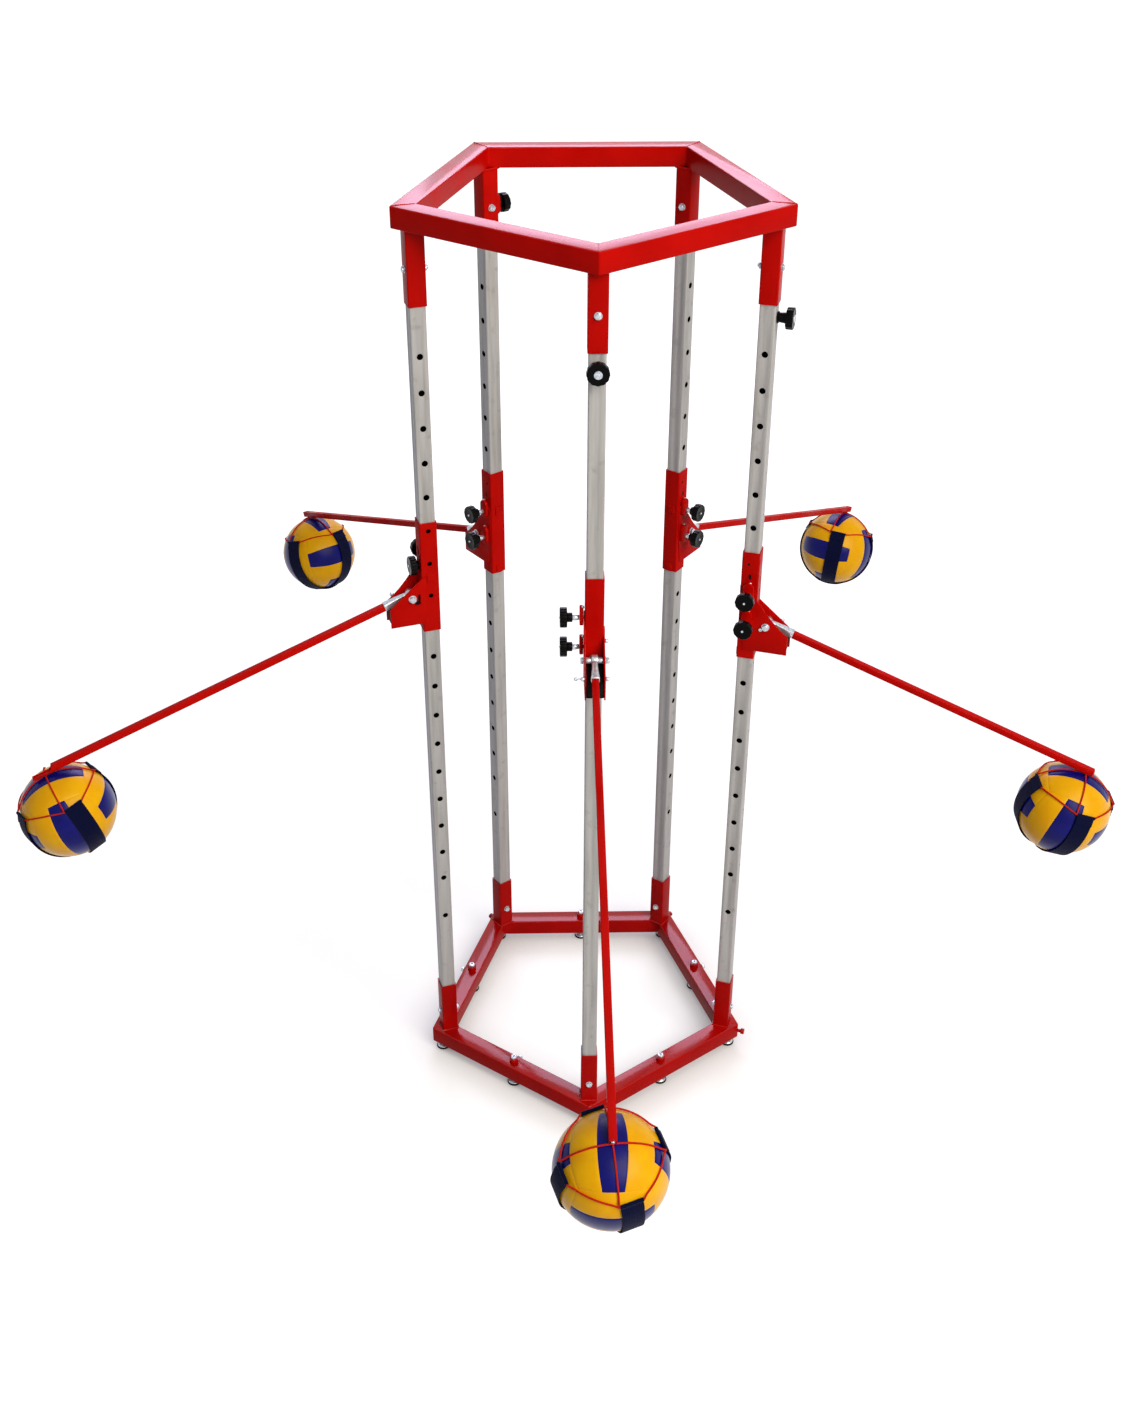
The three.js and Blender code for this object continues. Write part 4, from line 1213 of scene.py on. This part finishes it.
# Feet
def build_foot(name, stem_top, stud):
    """Levelling foot: a rubber rim under a zinc plate, stem and nut, and on a beam the nut over the boss."""
    rim = [(FOOT_PAD - 1, 0), (FOOT_PAD + 1, 1.2), (FOOT_PAD + 1, 3.6), (FOOT_PLATE + 2, 4.6)]
    pad = turned("pad", "z", rim, soften=0.6)
    rubber = smooth(painted(pad, RUBBER))
    rubber.name = name + "_pad"
    dish = [(FOOT_PLATE, 4.2), (FOOT_PLATE, 6.2), (FOOT_NUT + 3, FOOT_PAD_HEIGHT)]
    disc = turned("disc", "z", dish, soften=0.6)
    nut_top = FOOT_HEIGHT - TOUCH_GAP
    nut = rod("nut", "z", FOOT_NUT, nut_top - FOOT_NUT_HEIGHT, nut_top, sides=6)
    rounded(nut, 0.9, segments=2)
    stem = turned("stem", "z", [(FOOT_STEM, FOOT_PAD_HEIGHT - 2), (FOOT_STEM, stem_top)], soften=0.4)
    parts = [disc, nut, stem]
    if stud:
        head = rod("stud", "z", STUD_NUT, stem_top, stem_top + STUD_PROUD, sides=6)
        rounded(head, 1.6, segments=3)
        well = rod("well", "z", STUD_WELL, stem_top + 1, stem_top + STUD_PROUD + 1, sides=20)
        parts.append(cut(head, [well]))
    metal = smooth(painted(joined(name + "_metal", parts), ZINC))
    return rubber, metal


def build_feet():
    corner = build_foot("corner_foot", BASE_BOTTOM + 25, False)
    beam = build_foot("beam_foot", BASE_TOP + BOSS_HEIGHT + TOUCH_GAP, True)
    for k, name in enumerate(STATIONS):
        place = station_matrix(k, out=FOOT_OUT)
        body = f"corner_foot_{name}"
        seated(corner[0], f"corner_pad_{name}", place, body, [f"foot_corner_{name}"])
        seated(corner[1], f"corner_stem_{name}", place, body)
        place = station_matrix(k, out=BEAM_OUT, extra=STEP / 2)
        body = f"beam_foot_{BEAMS[k]}"
        seated(beam[0], f"beam_pad_{BEAMS[k]}", place, body, [f"foot_beam_{BEAMS[k]}"])
        seated(beam[1], f"beam_stem_{BEAMS[k]}", place, body)
    discard(*corner, *beam)


def build_top_knobs():
    post_face = POST_WIDTH / 2
    post_knob = build_knob("post_knob", post_face - PIN_REACH, post_face, TOP_KNOB_STAND, True)
    collar_knob = build_knob("collar_knob", post_face + TOUCH_GAP, GUIDE_FACE, 1, hub_length=6)
    for name, knob in (("front", post_knob), ("right", post_knob), ("back_left", collar_knob)):
        height = JOINTS[f"top_knob_turn_{name}"]["pos_m"][2] / MM
        place = station_matrix(STATIONS.index(name), height=height)
        if knob is post_knob:
            place = place @ Matrix.Rotation(math.pi / 2, 4, "Z")
        seated(knob[0], f"top_grip_{name}", place, f"top_knob_{name}", [f"top_knob_{name}"])
        seated(knob[1], f"top_pin_{name}", place, f"top_knob_{name}")
    discard(*post_knob, *collar_knob)


def build_stations():
    plain_sleeve, slotted_sleeve = build_sleeve(False), build_sleeve(True)
    lock = build_knob("lock", POST_WIDTH / 2 - PIN_REACH, GUIDE_FACE, BUSH_LENGTH)
    clamp = build_knob("clamp", POST_WIDTH / 2 + TOUCH_GAP, GUIDE_FACE, BUSH_LENGTH)
    outer = build_knob("outer", POST_WIDTH / 2 + TOUCH_GAP, COLLAR_WIDTH / 2, 1, hub_length=6)
    pivot_bolt = build_pivot_bolt()
    rubber = build_buffer()
    pinned_end, plain_end = build_rod_end("short_end", PINNED_REACH), build_rod_end("long_end", SOCKET_REACH)
    ball = build_ball()
    straps = build_straps()
    cords = build_cords()
    droop = Matrix.Rotation(math.radians(ARM_DROOP), 4, "Y")
    for k, name in enumerate(STATIONS):
        mirrored = name in MIRRORED
        special = name == PLAIN_STATION
        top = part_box(f"sleeve_{name}")[1].z / MM
        slider, swing = f"slider_{name}", f"swing_{name}"
        place = station_matrix(k, height=top)
        sleeve = plain_sleeve if special else slotted_sleeve
        seated(sleeve, f"sleeve_{name}_finish", place, slider, [f"sleeve_{name}"], mirrored)
        screws = build_sleeve_screws(name)
        seated(screws, f"sleeve_screws_{name}", place, slider, (), mirrored)
        discard(screws)
        seated(rubber, f"buffer_{name}_finish", place, slider, [f"buffer_{name}"])
        for (grip, metal), drop, body, node in ((lock, PIN_DROP, f"lock_{name}", f"lock_pin_{name}"),
                                                (clamp, CLAMP_DROP, f"clamp_{name}", f"clamp_knob_{name}")):
            spot = station_matrix(k, height=top - drop)
            seated(grip, f"{node}_grip", spot, body, [node], mirrored)
            seated(metal, f"{node}_metal", spot, body, (), mirrored)
        if name == TONGUED_STATION:
            spot = station_matrix(k, height=top - OUTER_KNOB_DROP) @ Matrix.Rotation(math.pi / 2, 4, "Z")
            seated(outer[0], f"outer_knob_{name}_grip", spot, slider)
            seated(outer[1], f"outer_knob_{name}_metal", spot, slider)
        pivot = station_matrix(k, out=POST_OUT + PIVOT_OUT, height=top - PIVOT_DROP)
        seated(pivot_bolt, f"pivot_bolt_{name}_finish", pivot, slider, [f"pivot_bolt_{name}"])
        swung = pivot @ droop
        seated(pinned_end if special else plain_end, f"rod_end_{name}", swung, swing, (), mirrored)
        low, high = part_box(f"ball_{name}")
        in_arm = swung.inverted() @ ((low + high) / 2)
        length = in_arm.x / MM
        past = ARM_ENDS_SOONER.get(name, ARM_PAST_BALL)
        tube = build_arm_tube(length, past, name == TONGUED_STATION)
        tip = build_tip_bolt(length, past)
        seated(tube, f"arm_tube_{name}", swung, swing, [f"arm_{name}"])
        if name != TONGUED_STATION:
            seated(tip, f"tip_bolt_{name}", swung, swing)
        discard(tube, tip)
        at_ball = swung @ Matrix.Translation(in_arm)
        seated(ball, f"ball_{name}_finish", at_ball, swing, [f"ball_{name}"])
        seated(straps, f"harness_{name}_finish", at_ball, swing, [f"harness_{name}"])
        seated(cords, f"elastic_{name}", at_ball, swing)
    discard(plain_sleeve, slotted_sleeve, *lock, *clamp, *outer, pivot_bolt, rubber, pinned_end, plain_end,
            ball, straps, cords)


bolt_master = build_top_ring()
build_base_ring(bolt_master)
discard(bolt_master)
build_posts()
build_top_knobs()
build_feet()
build_stations()


# Studio: strengths of the surroundings, and of the floor's own glow near the object and far from it in metres
AMBIENT = 0.13
AMBIENT_COLOUR = "#CFE0FF"
FLOOR_LIT = 0.9
FLOOR_UNLIT = 5.0
GLOW_NEAR = 0.7
GLOW_FAR = 1.0
# Reach in metres of the painted contact shadow that dims the floor's glow near the object
CONTACT_SHADOW_REACH = 0.14


def direct_rays(material):
    """1 for what is seen directly, in a reflection or through a clear piece, and 0 for light on the object."""
    path = add(material, "ShaderNodeLightPath")
    seen = path.outputs["Is Camera Ray"]
    for way in ("Is Glossy Ray", "Is Transmission Ray"):
        either = add(material, "ShaderNodeMath", {"operation": "MAXIMUM"}, _0=seen, _1=path.outputs[way])
        seen = either.outputs[0]
    return seen


def white_floor():
    """Matt white studio floor. It glows where the lamps don't reach, so that the background stays white, and
    ambient occlusion dims that glow near the object as a painted contact shadow.
    """
    material = new_material("white_studio_floor")
    place = add(material, "ShaderNodeTexCoord").outputs["Object"]
    away = add(material, "ShaderNodeVectorMath", {"operation": "LENGTH"}, _0=place).outputs["Value"]
    glow = add(material, "ShaderNodeMapRange", Value=away, From_Min=FLOOR_LIT, From_Max=FLOOR_UNLIT,
               To_Min=GLOW_NEAR, To_Max=GLOW_FAR).outputs[0]
    # Painted contact shadow: the glow is dimmed where ambient occlusion finds the object close by.
    contact_shadow_ao = add(material, "ShaderNodeAmbientOcclusion", {"samples": 8}, Distance=CONTACT_SHADOW_REACH).outputs["AO"]
    glow = add(material, "ShaderNodeMath", {"operation": "MULTIPLY"}, _0=glow, _1=contact_shadow_ao).outputs[0]
    strength = add(material, "ShaderNodeMath", {"operation": "MULTIPLY"}, _0=glow,
                   _1=direct_rays(material)).outputs[0]
    return surface(material, Base_Color=linear("#C4C4C4"), Roughness=0.9, Specular_IOR_Level=0.0,
                   Emission_Color=linear("#FFFFFF"), Emission_Strength=strength)


def build_stage():
    fresh()
    bpy.ops.mesh.primitive_plane_add(size=60, location=(0, 0, -0.0005))
    floor = painted(named("studio_floor"), white_floor())


def area_light(name, place, target, size, power, colour):
    light = bpy.data.lights.new(name, "AREA")
    light.shape = "RECTANGLE"
    light.size, light.size_y = size
    light.energy = power
    light.color = linear(colour)[:3]
    lamp = bpy.data.objects.new(name, light)
    lamp.location = place
    lamp.rotation_euler = (Vector(target) - Vector(place)).to_track_quat("-Z", "Y").to_euler()
    bpy.context.scene.collection.objects.link(lamp)


def build_world():
    """White surroundings for the camera and for reflections, and a weaker, cooler light on the object."""
    world = bpy.data.worlds.new("studio")
    bpy.context.scene.world = world
    world.use_nodes = True
    world.node_tree.nodes.clear()
    seen = direct_rays(world)
    strength = add(world, "ShaderNodeMapRange", Value=seen, To_Min=AMBIENT, To_Max=1.0).outputs[0]
    colour = add(world, "ShaderNodeMixRGB", Fac=seen, Color1=linear(AMBIENT_COLOUR),
                 Color2=linear("#FFFFFF")).outputs[0]
    background = add(world, "ShaderNodeBackground", Color=colour, Strength=strength).outputs[0]
    add(world, "ShaderNodeOutputWorld", Surface=background)


# Lamps: name, place, what it points at, size in metres, watts and colour
LAMPS = [("key_softbox", (4.23, -6.27, 7.1), (0, 0, 1.2), (6.8, 6.8), 870, "#FFF4E2"),
         ("back_softbox", (0.15, 4.6, 4.25), (0, 0, 1.6), (2.8, 2.1), 120, "#EEDDFF")]

# Camera that the photo was taken with: place from the middle of the rings, turn and pitch in degrees, and lens
CAMERA_PLACE = (-126.9, -3541.9, 3252.4)
CAMERA_YAW = 1.035
CAMERA_PITCH = 32.40
CAMERA_LENS = 55.68


def build_camera():
    data = bpy.data.cameras.new("photo_camera")
    data.sensor_fit = "HORIZONTAL"
    data.sensor_width = 36
    data.lens = CAMERA_LENS
    data.clip_end = 100
    camera = bpy.data.objects.new("photo_camera", data)
    camera.location = CENTRE + Vector(CAMERA_PLACE) * MM
    camera.rotation_euler = (math.radians(90 - CAMERA_PITCH), 0, math.radians(-CAMERA_YAW))
    bpy.context.scene.collection.objects.link(camera)
    bpy.context.scene.camera = camera


build_stage()
build_world()
for lamp_settings in LAMPS:
    area_light(*lamp_settings)
build_camera()
bpy.context.scene.view_settings.view_transform = "Standard"
